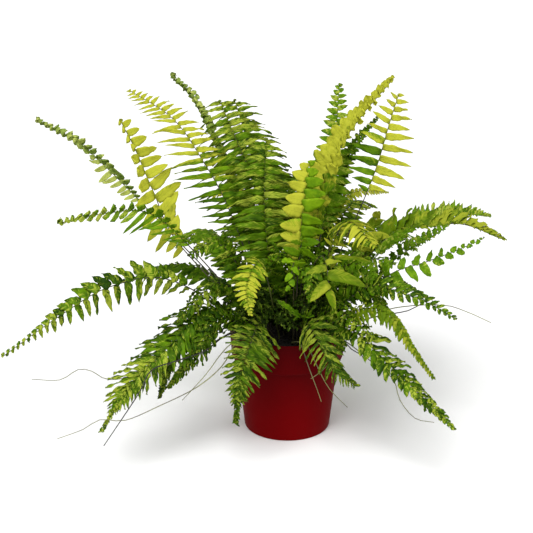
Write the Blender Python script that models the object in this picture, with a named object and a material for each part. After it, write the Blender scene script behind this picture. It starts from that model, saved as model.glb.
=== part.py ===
"""A potted Boston fern: arching fronds cut into leaflets, runners, soil and a plastic nursery pot.

Metres, +Z up. The origin is the centre of the pot's underside, on the surface that it stands on.
Each frond is one thin arched blade, cut to its rib in leaflets, with its stalk in a hole in the soil.
The tables of fronds and runners are in millimetres, as they would be measured on the plant.
"""

import math
import random
from collections import namedtuple

import bmesh
import bpy
from mathutils import Matrix, Vector
from mathutils.bvhtree import BVHTree

MM = 0.001
GAP = 0.3 * MM

POT_HEIGHT = 122 * MM
POT_BASE_RADIUS = 48.5 * MM
POT_WALL_TOP_RADIUS = 58.5 * MM
POT_BAND_BOTTOM = 86 * MM
POT_BAND_RADIUS = 62.5 * MM
POT_LIP_RADIUS = 65.5 * MM
POT_WALL = 1.6 * MM
POT_FLOOR = 2.0 * MM
POT_FOOT_BEVEL = 1.5 * MM
POT_BAND_SLANT = 1.0 * MM
POT_SIDES = 32
SHARP_EDGE = math.radians(35)
MERGE_DISTANCE = 0.01 * MM
DRAIN_HOLES = 6
DRAIN_RADIUS = 5 * MM
DRAIN_RING_RADIUS = 31 * MM
DRAIN_SIDES = 10

SOIL_EDGE_HEIGHT = 108 * MM
SOIL_MOUND = 4 * MM
SOIL_RINGS = 3

STEM_DEPTH = 12 * MM
STEM_RISE = 2 * MM
STEM_WIDTH = 2.2 * MM
STEM_TIP_WIDTH = 1.2 * MM
HOLE_RADIUS = 2.4 * MM
HOLE_SIDES = 5
CROWN_INNER = 6 * MM
CROWN_OUTER = 34 * MM
STEM_SPACING = 6.5 * MM
PUSHES = 80

BLADE_THICKNESS = 0.7 * MM
LEAFLET_PITCH = 21.5 * MM
FEWEST_ROWS = 4
ROW_CROWDING = 0.88
LAST_LEAFLET = 0.985
STALK_STEPS = 3
LEAFLET_BASE = 7 * MM
LEAFLET_WIDTH = 14 * MM
LEAFLET_FINENESS = 0.5
NEAR_SHOULDER = 0.38
FAR_SHOULDER = 0.42
TIP_SHIFT = 0.06
FOOT_LEAFLET = 0.45
FOOT_SHARE = 0.28
TIP_ROUNDING = 0.8
SMALLEST_LEAFLET = 7 * MM
PLAIN_LEAFLET = 21 * MM
CLEARANCE = 0.9 * MM
LOWEST_LEAF = 2 * MM
LIFT_SPREAD = 6
TRIED_SIZES = (1, 0.8, 0.6)
TRIED_TILTS = (0, 18, -18, 36, -36, 55, -55)

RUNNER_RADIUS = 1.0 * MM
RUNNER_TAPER = 0.5
RUNNER_STEP = 15 * MM
ROUTE_STEP = 7 * MM
RIB_CHECKS = 24

UP = Vector((0, 0, 1))

# The points that a frond's rib passes after it leaves the soil, the last one its tip; the way that
# the blade's upper face looks; its colour; how much of its stalk is bare; how late its leaflets get
# shorter towards the tip, where 1 is at once; and its left and right side.
Frond = namedtuple("Frond", "name route faces colour bare taper left right")
# A side's longest leaflet, how far its leaflets lean away from the rib at the foot and at the tip, in
# degrees, and the angle at which they stand above the blade, or hang below it.
Side = namedtuple("Side", "length lean_low lean_top lift")

FRONDS = (
    Frond("frond_centre_two_tone", ((12, -15, 208), (16, -5, 262), (22, 5, 306)), (0, -1, 0.3), "lime",
          0.46, 3.2, Side(27, 86, 80, 5), Side(28, 86, 76, 5)),
    Frond("frond_back_upright", ((-22, 15, 204), (-26, 35, 262), (-24, 50, 320)), (0.1, -1, 0.3), "green",
          0.2, 4.2, Side(49, 72, 86, 0), Side(51, 72, 86, 0)),
    Frond("frond_back_left_dark", ((-26, 40, 220), (-44, 65, 284), (-58, 80, 314), (-76, 95, 354)),
          (0, -1, 0.4), "green", 0.3, 4.2, Side(57, 72, 86, 0), Side(53, 78, 90, 0)),
    Frond("frond_back_mid_dark", ((-18, 60, 218), (-36, 85, 276), (-48, 108, 312), (-60, 125, 348)),
          (0.1, -1, 0.4), "green", 0.3, 4.2, Side(50, 70, 86, 0), Side(51, 80, 92, 0)),
    Frond("frond_left_yellow", ((-64, 40, 240), (-96, 55, 298), (-128, 70, 340), (-176, 85, 368)),
          (0.3, -1, 0.6), "lime", 0.32, 2.1, Side(46, 72, 50, -8), Side(36, 102, 116, 10)),
    Frond("frond_left_lime", ((-120, 12, 212), (-148, 30, 266), (-168, 42, 312), (-184, 50, 342)),
          (0.3, -1, 0.5), "lime", 0.44, 2.4, Side(30, 120, 76, 5), Side(38, 56, 96, 8)),
    Frond("frond_left_curled", ((-66, 95, 256), (-92, 125, 316), (-112, 145, 348), (-134, 160, 366)),
          (0.6, -0.6, 1), "green", 0.3, 5, Side(10, 50, 46, 20), Side(10, 50, 46, 20)),
    Frond("frond_left_high_narrow", ((-128, 25, 218), (-196, 48, 284), (-236, 60, 316), (-278, 70, 336)),
          (0.2, -0.4, 1), "green", 0.54, 5, Side(17, 84, 46, -15), Side(9, 56, 44, 20)),
    Frond("frond_left_level", ((-112, -5, 220), (-152, -5, 254), (-198, -8, 254), (-246, -10, 244)),
          (0, -0.5, 1), "green", 0.44, 4, Side(29, 62, 46, -25), Side(10, 52, 44, 25)),
    Frond("frond_left_low", ((-126, -18, 180), (-192, -30, 178), (-248, -42, 148), (-310, -55, 106)),
          (0, -1, 0.5), "green", 0.3, 1.5, Side(34, 86, 84, -38), Side(30, 60, 58, 0)),
    Frond("frond_right_tall", ((72, 8, 238), (96, 25, 294), (110, 38, 340), (120, 45, 372)),
          (-0.2, -1, 0.2), "lime", 0.6, 1.9, Side(44, 92, 74, 8), Side(42, 90, 78, -4)),
    Frond("frond_right_upright", ((40, 45, 224), (52, 70, 292), (58, 90, 374)), (0, -1, 0.3), "green", 0.4,
          2, Side(27, 84, 78, 8), Side(27, 84, 78, 8)),
    Frond("frond_right_yellow_broad", ((36, 25, 262), (54, 40, 308), (80, 55, 345), (116, 70, 384)),
          (-0.6, -0.8, 0.6), "lime", 0.32, 1.8, Side(28, 78, 64, 15), Side(24, 72, 50, 18)),
    Frond("frond_right_dark_small", ((52, 75, 250), (74, 95, 296), (104, 115, 330)), (-0.5, -0.8, 0.6),
          "green", 0.3, 1.6, Side(21, 70, 70, 10), Side(21, 70, 70, 10)),
    Frond("frond_right_small_level", ((46, 62, 226), (74, 75, 252), (116, 90, 248)), (0, -0.5, 1), "lime",
          0.45, 1.6, Side(13, 78, 78, 0), Side(15, 78, 78, -20)),
    Frond("frond_right_arch", ((106, -5, 224), (154, -10, 240), (190, -16, 244), (230, -25, 230)),
          (0, 0.5, 1), "lime", 0.3, 2, Side(38, 66, 56, 60), Side(22, 70, 58, -5)),
    Frond("frond_right_arch_narrow", ((120, 22, 190), (162, 45, 208), (188, 60, 222), (208, 75, 232)),
          (0, -0.2, 1), "green", 0.3, 1.6, Side(17, 70, 70, 20), Side(9, 70, 70, 0)),
    Frond("frond_right_arch_back", ((122, 48, 206), (176, 80, 222), (210, 95, 220), (238, 110, 212)),
          (0, -0.3, 1), "green", 0.4, 2, Side(24, 64, 60, 30), Side(16, 64, 60, 10)),
    Frond("frond_right_sparse", ((104, -35, 190), (146, -42, 210), (180, -47, 226), (206, -50, 240)),
          (0, -0.8, 0.8), "green", 0.3, 1.2, Side(24, 78, 55, 0), Side(31, 96, 60, 0)),
    Frond("frond_right_low_green", ((82, -55, 186), (116, -75, 188), (146, -85, 180), (174, -95, 166)),
          (-0.2, -0.8, 1), "green", 0.2, 1.8, Side(26, 62, 62, 10), Side(18, 66, 66, 0)),
    Frond("frond_right_droop", ((76, -72, 168), (106, -95, 170), (126, -110, 144), (150, -125, 112)),
          (0.2, -0.6, 0.8), "lime", 0.25, 0.7, Side(18, 56, 50, 10), Side(29, 74, 66, -15)),
    Frond("frond_right_low_floor", ((64, -75, 146), (96, -105, 128), (130, -130, 102), (170, -150, 66)),
          (0.2, -0.7, 1), "green", 0.2, 1.7, Side(28, 62, 58, 0), Side(25, 62, 56, 10)),
    Frond("frond_front_right_over", ((20, -62, 148), (34, -80, 130), (48, -96, 108), (70, -112, 98)),
          (-0.3, -0.8, 0.8), "green", 0.22, 0.95, Side(42, 58, 52, 10), Side(35, 84, 72, 0)),
    Frond("frond_front_left_over", ((-30, -62, 148), (-42, -84, 128), (-52, -102, 98), (-56, -114, 56)),
          (0, -1, 0.6), "green", 0.22, 1.5, Side(40, 88, 62, -5), Side(38, 92, 62, -5)),
    Frond("frond_left_low_floor", ((-82, -48, 160), (-124, -80, 132), (-166, -108, 98), (-196, -130, 54)),
          (0, -0.5, 1), "green", 0.2, 4, Side(32, 62, 55, -5), Side(42, 62, 50, -5)),
    Frond("frond_front_small_bright", ((-28, -50, 212), (-44, -88, 200), (-40, -108, 176)), (0, -0.8, 1),
          "lime", 0.6, 1.6, Side(21, 80, 80, 0), Side(21, 80, 80, 0)),
    Frond("frond_front_star", ((22, -34, 190), (34, -66, 226), (39, -92, 220), (41, -101, 197)),
          (0, -1, 0.4), "lime", 0.82, 6, Side(39, 112, 32, 5), Side(27, 100, 58, 5)),
    Frond("frond_front_small_yellow", ((46, -15, 216), (64, -38, 254), (88, -75, 240)), (0.3, -0.4, 1),
          "lime", 0.55, 2.6, Side(30, 78, 70, 0), Side(36, 84, 74, -5)),
    Frond("frond_left_dark_low", ((-66, -32, 180), (-90, -52, 180), (-118, -70, 152)), (0, -0.4, 1),
          "green", 0.15, 1.6, Side(30, 62, 62, -20), Side(30, 62, 62, -20)),
    Frond("frond_left_hang_front", ((-72, -58, 152), (-96, -80, 124), (-128, -95, 88)), (0.5, -1, 0.6),
          "green", 0.2, 1.25, Side(26, 60, 55, -10), Side(26, 60, 55, -10)),
    Frond("frond_left_hang_side", ((-68, -30, 152), (-108, -46, 136), (-130, -58, 100), (-140, -64, 62)),
          (0, -0.6, 1), "green", 0.25, 1.25, Side(26, 60, 50, -20), Side(26, 60, 50, -20)),
    Frond("frond_left_middle", ((-58, 18, 189), (-82, 22, 210), (-109, 15, 197)), (0, -0.5, 1), "green",
          0.15, 2, Side(28, 74, 74, -10), Side(28, 74, 74, -10)),
    Frond("frond_front_middle", ((8, -28, 142), (13, -58, 154), (-10, -74, 177)), (0, -0.6, 1), "green",
          0.35, 1.2, Side(30, 40, 10, 0), Side(30, 40, 10, 0)),
    Frond("frond_right_middle", ((63, -2, 188), (90, -8, 202), (116, -16, 198)), (0, -0.5, 1), "green",
          0.15, 2, Side(28, 74, 74, -10), Side(28, 74, 74, -10)),
    Frond("frond_front_right_middle", ((45, -45, 159), (65, -76, 160), (89, -98, 143)), (0, -0.5, 1),
          "green", 0.15, 1.6, Side(24, 70, 70, -10), Side(24, 70, 70, -10)),
    Frond("frond_back_low_1", ((70, 55, 180), (118, 110, 202), (160, 172, 148)), (0, 0, 1), "green", 0.2,
          2, Side(32, 76, 76, -15), Side(32, 76, 76, -15)),
    Frond("frond_back_low_2", ((45, 75, 175), (80, 140, 200), (110, 225, 120)), (0, 0, 1), "green", 0.2,
          1.5, Side(34, 76, 76, -15), Side(34, 76, 76, -15)),
    Frond("frond_back_low_3", ((10, 80, 180), (18, 150, 205), (15, 255, 110)), (0, 0, 1), "lime", 0.2,
          1.25, Side(38, 74, 74, -15), Side(38, 74, 74, -15)),
    Frond("frond_back_low_4", ((-28, 80, 170), (-52, 140, 195), (-80, 235, 105)), (0, 0, 1), "green", 0.2,
          2, Side(36, 76, 76, -15), Side(36, 76, 76, -15)),
    Frond("frond_back_low_5", ((-62, 62, 175), (-100, 115, 194), (-134, 185, 148)), (0, 0, 1), "green",
          0.2, 1.25, Side(34, 76, 76, -15), Side(34, 76, 76, -15)),
    Frond("frond_back_high_1", ((12, 55, 220), (16, 110, 255), (20, 195, 235)), (0, 0, 1), "green", 0.2, 2,
          Side(36, 76, 76, -10), Side(36, 76, 76, -10)),
    Frond("frond_back_high_2", ((-24, 80, 198), (-50, 140, 234), (-90, 210, 208)), (0, 0, 1), "lime", 0.25,
          2.1, Side(34, 76, 76, -10), Side(34, 76, 76, -10)),
    Frond("frond_back_high_3", ((55, 72, 205), (80, 122, 226), (110, 196, 196)), (0, 0, 1), "green", 0.3,
          2, Side(24, 76, 76, -10), Side(24, 76, 76, -10)),
    Frond("frond_left_back_low", ((-72, 30, 160), (-125, 52, 174), (-190, 82, 142)), (0, 0, 1), "green",
          0.2, 2, Side(32, 76, 76, -15), Side(32, 76, 76, -15)),
    Frond("frond_right_back_low", ((70, 20, 156), (116, 32, 166), (165, 52, 132)), (0, 0, 1), "green", 0.2,
          1.8, Side(32, 76, 76, -15), Side(32, 76, 76, -15)),
)

# The points that each runner passes: over the pot's lip, and out to its tip.
RUNNERS = {
    "runner_left_long": ((-54, -33, 128), (-74, -45, 123), (-106, -62, 110), (-154, -74, 95),
                         (-192, -78, 89), (-211, -76, 98), (-226, -74, 99), (-247, -70, 85),
                         (-278, -66, 84)),
    "runner_left_dark": ((-50, -42, 129), (-69, -58, 131), (-90, -80, 123), (-118, -98, 120),
                         (-144, -112, 115), (-156, -130, 97), (-191, -158, 51)),
    "runner_left_floor": ((-42, -50, 129), (-56, -62, 126), (-71, -80, 106), (-98, -98, 89),
                          (-136, -113, 75), (-171, -127, 65), (-197, -134, 69), (-214, -138, 60),
                          (-241, -142, 51)),
    "runner_left_short": ((-46, -46, 125), (-62, -58, 122), (-74, -72, 114), (-88, -86, 99),
                          (-113, -100, 75)),
    "runner_right_light": ((46, -33, 132), (65, -46, 143), (113, -68, 168), (160, -85, 178),
                           (185, -88, 172), (212, -90, 160)),
    "runner_right_dark": ((48, -28, 128), (62, -38, 135), (88, -50, 149), (110, -60, 158),
                          (127, -66, 164), (143, -68, 174)),
    "runner_right_loop": ((47, -46, 128), (60, -60, 127), (74, -75, 122), (95, -88, 108), (111, -98, 98),
                          (118, -104, 77), (134, -108, 58), (154, -112, 55)),
    "runner_right_twig": ((50, -40, 127), (58, -49, 125), (68, -60, 117), (79, -65, 112),
                          (83, -67, 105)),
    "runner_front_short": ((12, -64, 127), (15, -69, 122), (22, -70, 100), (31, -71, 75), (36, -72, 60)),
    "runner_front_long": ((18, -62, 128), (21, -68, 124), (29, -70, 106), (40, -72, 83), (49, -75, 71),
                          (64, -80, 57)),
    "runner_front_cross": ((38, -54, 128), (50, -63, 124), (45, -70, 108), (36, -77, 99), (24, -80, 91)),
}

COLOURS = {
    "green": ((0.07, 0.19, 0.02), 0.45),
    "lime": ((0.42, 0.5, 0.03), 0.45),
    "pot": ((0.2, 0.004, 0.008), 0.35),
    "soil": ((0.018, 0.012, 0.008), 0.95),
    "runner": ((0.06, 0.06, 0.02), 0.6),
}


def clear_scene():
    """Removes whatever the new file holds."""
    for thing in list(bpy.data.objects):
        bpy.data.objects.remove(thing)


def finish_of(name):
    """The material of one of COLOURS, made when it is first asked for."""
    found = bpy.data.materials.get(name)
    if found:
        return found
    colour, roughness = COLOURS[name]
    made = bpy.data.materials.new(name)
    made.use_nodes = True
    shader = made.node_tree.nodes["Principled BSDF"]
    shader.inputs["Base Color"].default_value = (*colour, 1)
    shader.inputs["Roughness"].default_value = roughness
    shader.inputs["Metallic"].default_value = 0
    return made


def add_object(name, bm, colour, smooth=False):
    """Turns a bmesh into an object of that name and colour."""
    mesh = bpy.data.meshes.new(name)
    bm.to_mesh(mesh)
    bm.free()
    mesh.materials.append(finish_of(colour))
    if smooth:
        mesh.shade_smooth()
        mesh.set_sharp_from_angle(angle=SHARP_EDGE)
    made = bpy.data.objects.new(name, mesh)
    bpy.context.collection.objects.link(made)
    return made


def turned(profile):
    """A closed body turned round Z from a list of (radius, height) that starts and ends on the axis."""
    bm = bmesh.new()
    corners = [bm.verts.new((radius, 0, height)) for radius, height in profile]
    edges = [bm.edges.new(pair) for pair in zip(corners, corners[1:])]
    bmesh.ops.spin(bm, geom=corners + edges, cent=(0, 0, 0), axis=(0, 0, 1),
                   angle=math.tau, steps=POT_SIDES, use_merge=True)
    bmesh.ops.remove_doubles(bm, verts=bm.verts, dist=MERGE_DISTANCE)
    bmesh.ops.recalc_face_normals(bm, faces=bm.faces)
    return bm


def cut(target, name, places, radius, low, high, sides):
    """Cuts an upright hole at each (x, y) of places, all with one joined cutter."""
    bm = bmesh.new()
    for x, y in places:
        middle = Matrix.Translation((x, y, (low + high) / 2))
        bmesh.ops.create_cone(bm, cap_ends=True, segments=sides, radius1=radius, radius2=radius,
                              depth=high - low, matrix=middle)
    cutter = add_object(name, bm, "soil")
    cutter.hide_render = True
    cutter.display_type = "WIRE"
    holes = target.modifiers.new(name, "BOOLEAN")
    holes.operation = "DIFFERENCE"
    holes.solver = "EXACT"
    holes.object = cutter


def pot_inside():
    """The (radius, height) corners of the pot's inner side, from its floor up to its lip."""
    step = POT_BAND_BOTTOM + POT_WALL
    return [
        (POT_BASE_RADIUS - POT_WALL, POT_FLOOR),
        (POT_WALL_TOP_RADIUS - POT_WALL, step),
        (POT_BAND_RADIUS - POT_WALL, step + POT_BAND_SLANT),
        (POT_LIP_RADIUS - POT_WALL, POT_HEIGHT),
    ]


def build_pot():
    """The nursery pot: tapered wall, a wider band under its lip, and drain holes in its floor."""
    outside = [
        (0, 0),
        (POT_BASE_RADIUS - POT_FOOT_BEVEL, 0),
        (POT_BASE_RADIUS, POT_FOOT_BEVEL),
        (POT_WALL_TOP_RADIUS, POT_BAND_BOTTOM),
        (POT_BAND_RADIUS, POT_BAND_BOTTOM + POT_BAND_SLANT),
        (POT_LIP_RADIUS, POT_HEIGHT),
    ]
    profile = outside + pot_inside()[::-1] + [(0, POT_FLOOR)]
    pot = add_object("pot", turned(profile), "pot", smooth=True)
    ring = [math.tau * (turn + 0.5) / DRAIN_HOLES for turn in range(DRAIN_HOLES)]
    places = [(DRAIN_RING_RADIUS * math.cos(a), DRAIN_RING_RADIUS * math.sin(a)) for a in ring]
    cut(pot, "drain_cutter", places, DRAIN_RADIUS, -POT_FLOOR, 2 * POT_FLOOR, DRAIN_SIDES)


def soil_edge_radius():
    """The soil's radius where its top meets the pot."""
    low, high = pot_inside()[2:]
    share = (SOIL_EDGE_HEIGHT - low[1]) / (high[1] - low[1])
    return low[0] + share * (high[0] - low[0]) - GAP


def soil_height(x, y):
    """The height of the gently mounded soil at a place."""
    share = math.hypot(x, y) / soil_edge_radius()
    return SOIL_EDGE_HEIGHT + SOIL_MOUND * (1 - share * share)


def build_soil(places):
    """The peat that fills the pot, with a plain hole for each stem."""
    floor, wall_top, band = pot_inside()[:3]
    profile = [
        (0, floor[1] + GAP),
        (floor[0] - GAP, floor[1] + GAP),
        (wall_top[0] - GAP, wall_top[1] + GAP),
        (band[0] - GAP, band[1] + GAP),
    ]
    for ring in range(SOIL_RINGS):
        radius = soil_edge_radius() * (1 - ring / SOIL_RINGS)
        profile.append((radius, soil_height(radius, 0)))
    profile.append((0, soil_height(0, 0)))
    soil = add_object("soil", turned(profile), "soil", smooth=True)
    low = SOIL_EDGE_HEIGHT - STEM_DEPTH
    cut(soil, "stem_hole_cutter", places, HOLE_RADIUS, low, POT_HEIGHT, HOLE_SIDES)


def crown_places():
    """Where each stem leaves the soil: under its own arc, with no two closer than STEM_SPACING."""
    aims = [Vector(frond.route[0]) for frond in FRONDS]
    aims += [Vector(route[0]) for route in RUNNERS.values()]
    places = []
    for aim in aims:
        flat = Vector((aim.x, aim.y))
        above = max(aim.z - SOIL_EDGE_HEIGHT / MM, 1)
        slope = flat.length / math.hypot(flat.length, above)
        radius = CROWN_INNER + (CROWN_OUTER - CROWN_INNER) * slope
        places.append(flat.normalized() * radius)
    for _ in range(PUSHES):
        for i, first in enumerate(places):
            for second in places[:i]:
                apart = first - second
                short = STEM_SPACING - apart.length
                if short > 0:
                    push = apart.normalized() * short / 2
                    first += push
                    second -= push
    return places


def smooth_route(points, step):
    """Points about step apart on a smooth curve through the given ones."""
    ends = [2 * points[0] - points[1], *points, 2 * points[-1] - points[-2]]
    route = []
    for a, b, c, d in zip(ends, ends[1:], ends[2:], ends[3:]):
        count = max(1, round((c - b).length / step))
        for i in range(count):
            t = i / count
            route.append(0.5 * (2 * b + (c - a) * t + (2 * a - 5 * b + 4 * c - d) * t * t
                                + (3 * b - a - 3 * c + d) * t ** 3))
    route.append(points[-1])
    return route


def stem_route(points, place, step):
    """A stem's smooth way from just above the soil at its place through its points, in metres."""
    knee = Vector((place.x, place.y, soil_height(*place) + STEM_RISE))
    return smooth_route([knee] + [Vector(point) * MM for point in points], step)


def stem_foot(place):
    """The lower end of the stem that stands at a place, at the bottom of its hole."""
    return Vector((place.x, place.y, SOIL_EDGE_HEIGHT - STEM_DEPTH + 2 * GAP))


def rib_stations(frond, place, shares):
    """(point, along, side, up) of the frond's blade at each share of its rib, and the rib's length."""
    fine = stem_route(frond.route, place, ROUTE_STEP)
    run = [0.0]
    for before, after in zip(fine, fine[1:]):
        run.append(run[-1] + (after - before).length)
    directions = [(after - before).normalized() for before, after in zip(fine, fine[1:])]
    bends = [directions[0], *(a + b for a, b in zip(directions, directions[1:])), directions[-1]]
    stations = []
    for share in shares:
        wanted = share * run[-1]
        i = max(k for k in range(len(fine) - 1) if run[k] <= wanted)
        part = (wanted - run[i]) / (run[i + 1] - run[i])
        along = bends[i].normalized().lerp(bends[i + 1].normalized(), part).normalized()
        up = Vector(frond.faces)
        up = (up - up.dot(along) * along).normalized()
        stations.append((fine[i].lerp(fine[i + 1], part), along, up.cross(along), up))
    return stations, run[-1]


def leaflet_size(share, taper):
    """A leaflet's length as a share of the longest, by its place from the lowest to the tip."""
    rising = FOOT_LEAFLET + (1 - FOOT_LEAFLET) * min(1, share / FOOT_SHARE)
    return rising * (1 - share ** taper) ** TIP_ROUNDING


def leaflet_outline(station, edge, hand, length, lift, lean):
    """A leaflet's corners on one side of the rib, near shoulder, tip and far shoulder, and its up
    direction. A short one has no near shoulder.
    """
    point, along, side, up = station
    out = side * (hand * math.cos(lift)) + up * math.sin(lift)
    reach = along * math.cos(lean) + out * math.sin(lean)
    across = (along - along.dot(reach) * reach).normalized()
    face = out.cross(along) * -hand
    wide = min(LEAFLET_WIDTH, length * LEAFLET_FINENESS) / 2
    root = point + side * (hand * edge)
    near = root + reach * (length * NEAR_SHOULDER) - across * wide
    far = root + reach * (length * FAR_SHOULDER) + across * wide
    tip = root + reach * length + across * (length * TIP_SHIFT)
    corners = (near, tip, far) if length > PLAIN_LEAFLET else (tip, far)
    return corners, face.normalized()


def slab(outline, face, half):
    """Corners and faces of a thin closed slab round an outline, grown by half its thickness."""
    centre = sum(outline, Vector()) / len(outline)
    grown = [p + (p - centre).normalized() * half for p in outline]
    corners = [p + face * half for p in grown] + [p - face * half for p in grown]
    count = len(outline)
    faces = [tuple(range(count)), tuple(range(2 * count - 1, count - 1, -1))]
    for i in range(count):
        after = (i + 1) % count
        faces.append((i, count + i, count + after, after))
    return corners, faces


class Obstacles:
    """Solids that a new leaflet has to stay clear of, each with its box and the stem it belongs to."""

    def __init__(self):
        self.held = []

    def add(self, owner, corners, faces):
        low = [min(c[k] for c in corners) for k in range(3)]
        high = [max(c[k] for c in corners) for k in range(3)]
        self.held.append((owner, low, high, BVHTree.FromPolygons(corners, faces)))

    def hit(self, owner, corners, faces):
        """The owner of the first solid that this one meets, apart from its own, or None."""
        low = [min(c[k] for c in corners) for k in range(3)]
        high = [max(c[k] for c in corners) for k in range(3)]
        tree = BVHTree.FromPolygons(corners, faces)
        for other, other_low, other_high, other_tree in self.held:
            if other == owner:
                continue
            if any(high[k] < other_low[k] or low[k] > other_high[k] for k in range(3)):
                continue
            if tree.overlap(other_tree):
                return other
        return None


def box_along(start, end, half):
    """Corners and faces of a four-sided rod between two points."""
    along = (end - start).normalized()
    side = along.orthogonal().normalized() * half
    up = along.cross(side)
    ring = (side, up, -side, -up)
    corners = [start + r for r in ring] + [end + r for r in ring]
    faces = [(0, 1, 2, 3), (7, 6, 5, 4)]
    faces += [(i, i + 4, (i + 1) % 4 + 4, (i + 1) % 4) for i in range(4)]
    return corners, faces


def stem_width(share):
    """The rib's width along the arc."""
    return STEM_WIDTH + (STEM_TIP_WIDTH - STEM_WIDTH) * share


def leaflet_rows(length, bare):
    """The share of the leafy part of the arc at which each pair of leaflets stands."""
    count = max(FEWEST_ROWS, round(length * (1 - bare) / LEAFLET_PITCH))
    return [((i + 0.5) / count) ** ROW_CROWDING for i in range(count)]


def place_leaflet(frond, row, station, hand, base, obstacles, draw):
    """The first clear way for a leaflet to grow from its base, tried from its natural one, or None."""
    side = frond.left if hand > 0 else frond.right
    length = max(side.length * MM * leaflet_size(row, frond.taper), SMALLEST_LEAFLET)
    lean = math.radians(side.lean_low + (side.lean_top - side.lean_low) * row)
    edge = stem_width(row) / 2
    natural = side.lift + draw.uniform(-LIFT_SPREAD, LIFT_SPREAD)
    for size in TRIED_SIZES:
        for tilt in TRIED_TILTS:
            lift = math.radians(natural + tilt)
            outline, face = leaflet_outline(station, edge, hand, length * size, lift, lean)
            if min(p.z for p in outline) < LOWEST_LEAF:
                continue
            corners, faces = slab((base[0], *outline, base[1]), face, CLEARANCE)
            if obstacles.hit(frond.name, corners, faces) is None:
                obstacles.add(frond.name, corners, faces)
                return outline, face
    return None


def build_frond(frond, place, obstacles):
    """One frond: a rib from the soil to the tip, and a sheet of leaflets, then given its thickness."""
    draw = random.Random(frond.name)
    length = rib_stations(frond, place, [0])[1]
    rows = leaflet_rows(length, frond.bare)
    half_base = LEAFLET_BASE / 2 / length
    shares = [0] + [frond.bare * (i + 1) / STALK_STEPS for i in range(STALK_STEPS - 1)]
    first_row = len(shares)
    for row in rows:
        middle = frond.bare + (1 - frond.bare) * row
        shares += [middle - half_base, middle + half_base]
    shares = [min(share, LAST_LEAFLET) for share in shares] + [1]
    stations = rib_stations(frond, place, shares)[0]
    bm = bmesh.new()
    lift_layer = bm.verts.layers.float_vector.new("half_thickness")

    def corner(point, face, half):
        made = bm.verts.new(point)
        made[lift_layer] = face * half
        return made

    side = stations[0][2]
    flat_side = Vector((side.x, side.y, 0)).normalized()
    flat_up = UP.cross(flat_side)
    knee = Vector((place.x, place.y, soil_height(*place) + 2 * GAP))
    half = STEM_WIDTH / 2
    rib = []
    for point in (stem_foot(place), knee):
        rib.append([corner(point + flat_side * (hand * half), flat_up, half) for hand in (-1, 1)])
    for share, (point, along, side, up) in zip(shares[:-1], stations[:-1]):
        half = stem_width(share) / 2
        rib.append([corner(point + side * (hand * half), up, half) for hand in (-1, 1)])
    for (left, right), (next_left, next_right) in zip(rib, rib[1:]):
        bm.faces.new((left, right, next_right))
        bm.faces.new((left, next_right, next_left))
    tip = corner(stations[-1][0], stations[-1][3], BLADE_THICKNESS / 2)
    bm.faces.new((rib[-1][0], rib[-1][1], tip))

    kept = 0
    for i, row in enumerate(rows):
        first = first_row + 2 * i
        point = stations[first][0].lerp(stations[first + 1][0], 0.5)
        station = (point, *stations[first][1:])
        for which, hand in enumerate((-1, 1)):
            low = rib[first + 2][which]
            high = rib[first + 3][which]
            found = place_leaflet(frond, row, station, hand, (low.co, high.co), obstacles, draw)
            if found is None:
                continue
            kept += 1
            outline, face = found
            *lower, far = [corner(p, face, BLADE_THICKNESS / 2) for p in outline]
            for start, end in zip([low, *lower], lower):
                bm.faces.new((start, end, far))
            bm.faces.new((low, far, high))
    sheet = bm.faces[:]
    new = bmesh.ops.extrude_face_region(bm, geom=sheet)["geom"]
    raised = {v for v in new if isinstance(v, bmesh.types.BMVert)}
    for vert in bm.verts:
        vert.co += vert[lift_layer] * (1 if vert in raised else -1)
    bmesh.ops.recalc_face_normals(bm, faces=bm.faces)
    add_object(frond.name, bm, frond.colour)
    return kept, 2 * len(rows)


def build_runner(name, route):
    """A runner: a thin bare stem that creeps over the pot's lip and tapers to its tip."""
    curve = bpy.data.curves.new(name, "CURVE")
    curve.dimensions = "3D"
    curve.bevel_depth = RUNNER_RADIUS
    curve.bevel_resolution = 0
    curve.use_fill_caps = True
    line = curve.splines.new("POLY")
    line.points.add(len(route) - 1)
    for i, point in enumerate(route):
        line.points[i].co = (*point, 1)
        line.points[i].radius = 1 - RUNNER_TAPER * i / len(route)
    curve.materials.append(finish_of("runner"))
    made = bpy.data.objects.new(name, curve)
    bpy.context.collection.objects.link(made)


def pot_obstacle(obstacles):
    """The pot's outer shape as a solid that nothing may enter."""
    profile = [
        (0, SOIL_EDGE_HEIGHT),
        (soil_edge_radius(), SOIL_EDGE_HEIGHT),
        (POT_LIP_RADIUS - POT_WALL - CLEARANCE, POT_HEIGHT + CLEARANCE),
        (POT_LIP_RADIUS + CLEARANCE, POT_HEIGHT + CLEARANCE),
        (POT_BAND_RADIUS + CLEARANCE, POT_BAND_BOTTOM),
        (POT_BASE_RADIUS + CLEARANCE, 0),
        (0, 0),
    ]
    bm = turned(profile)
    corners = [v.co.copy() for v in bm.verts]
    index = {v: i for i, v in enumerate(bm.verts)}
    faces = [tuple(index[v] for v in face.verts) for face in bm.faces]
    bm.free()
    obstacles.add("pot", corners, faces)


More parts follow.
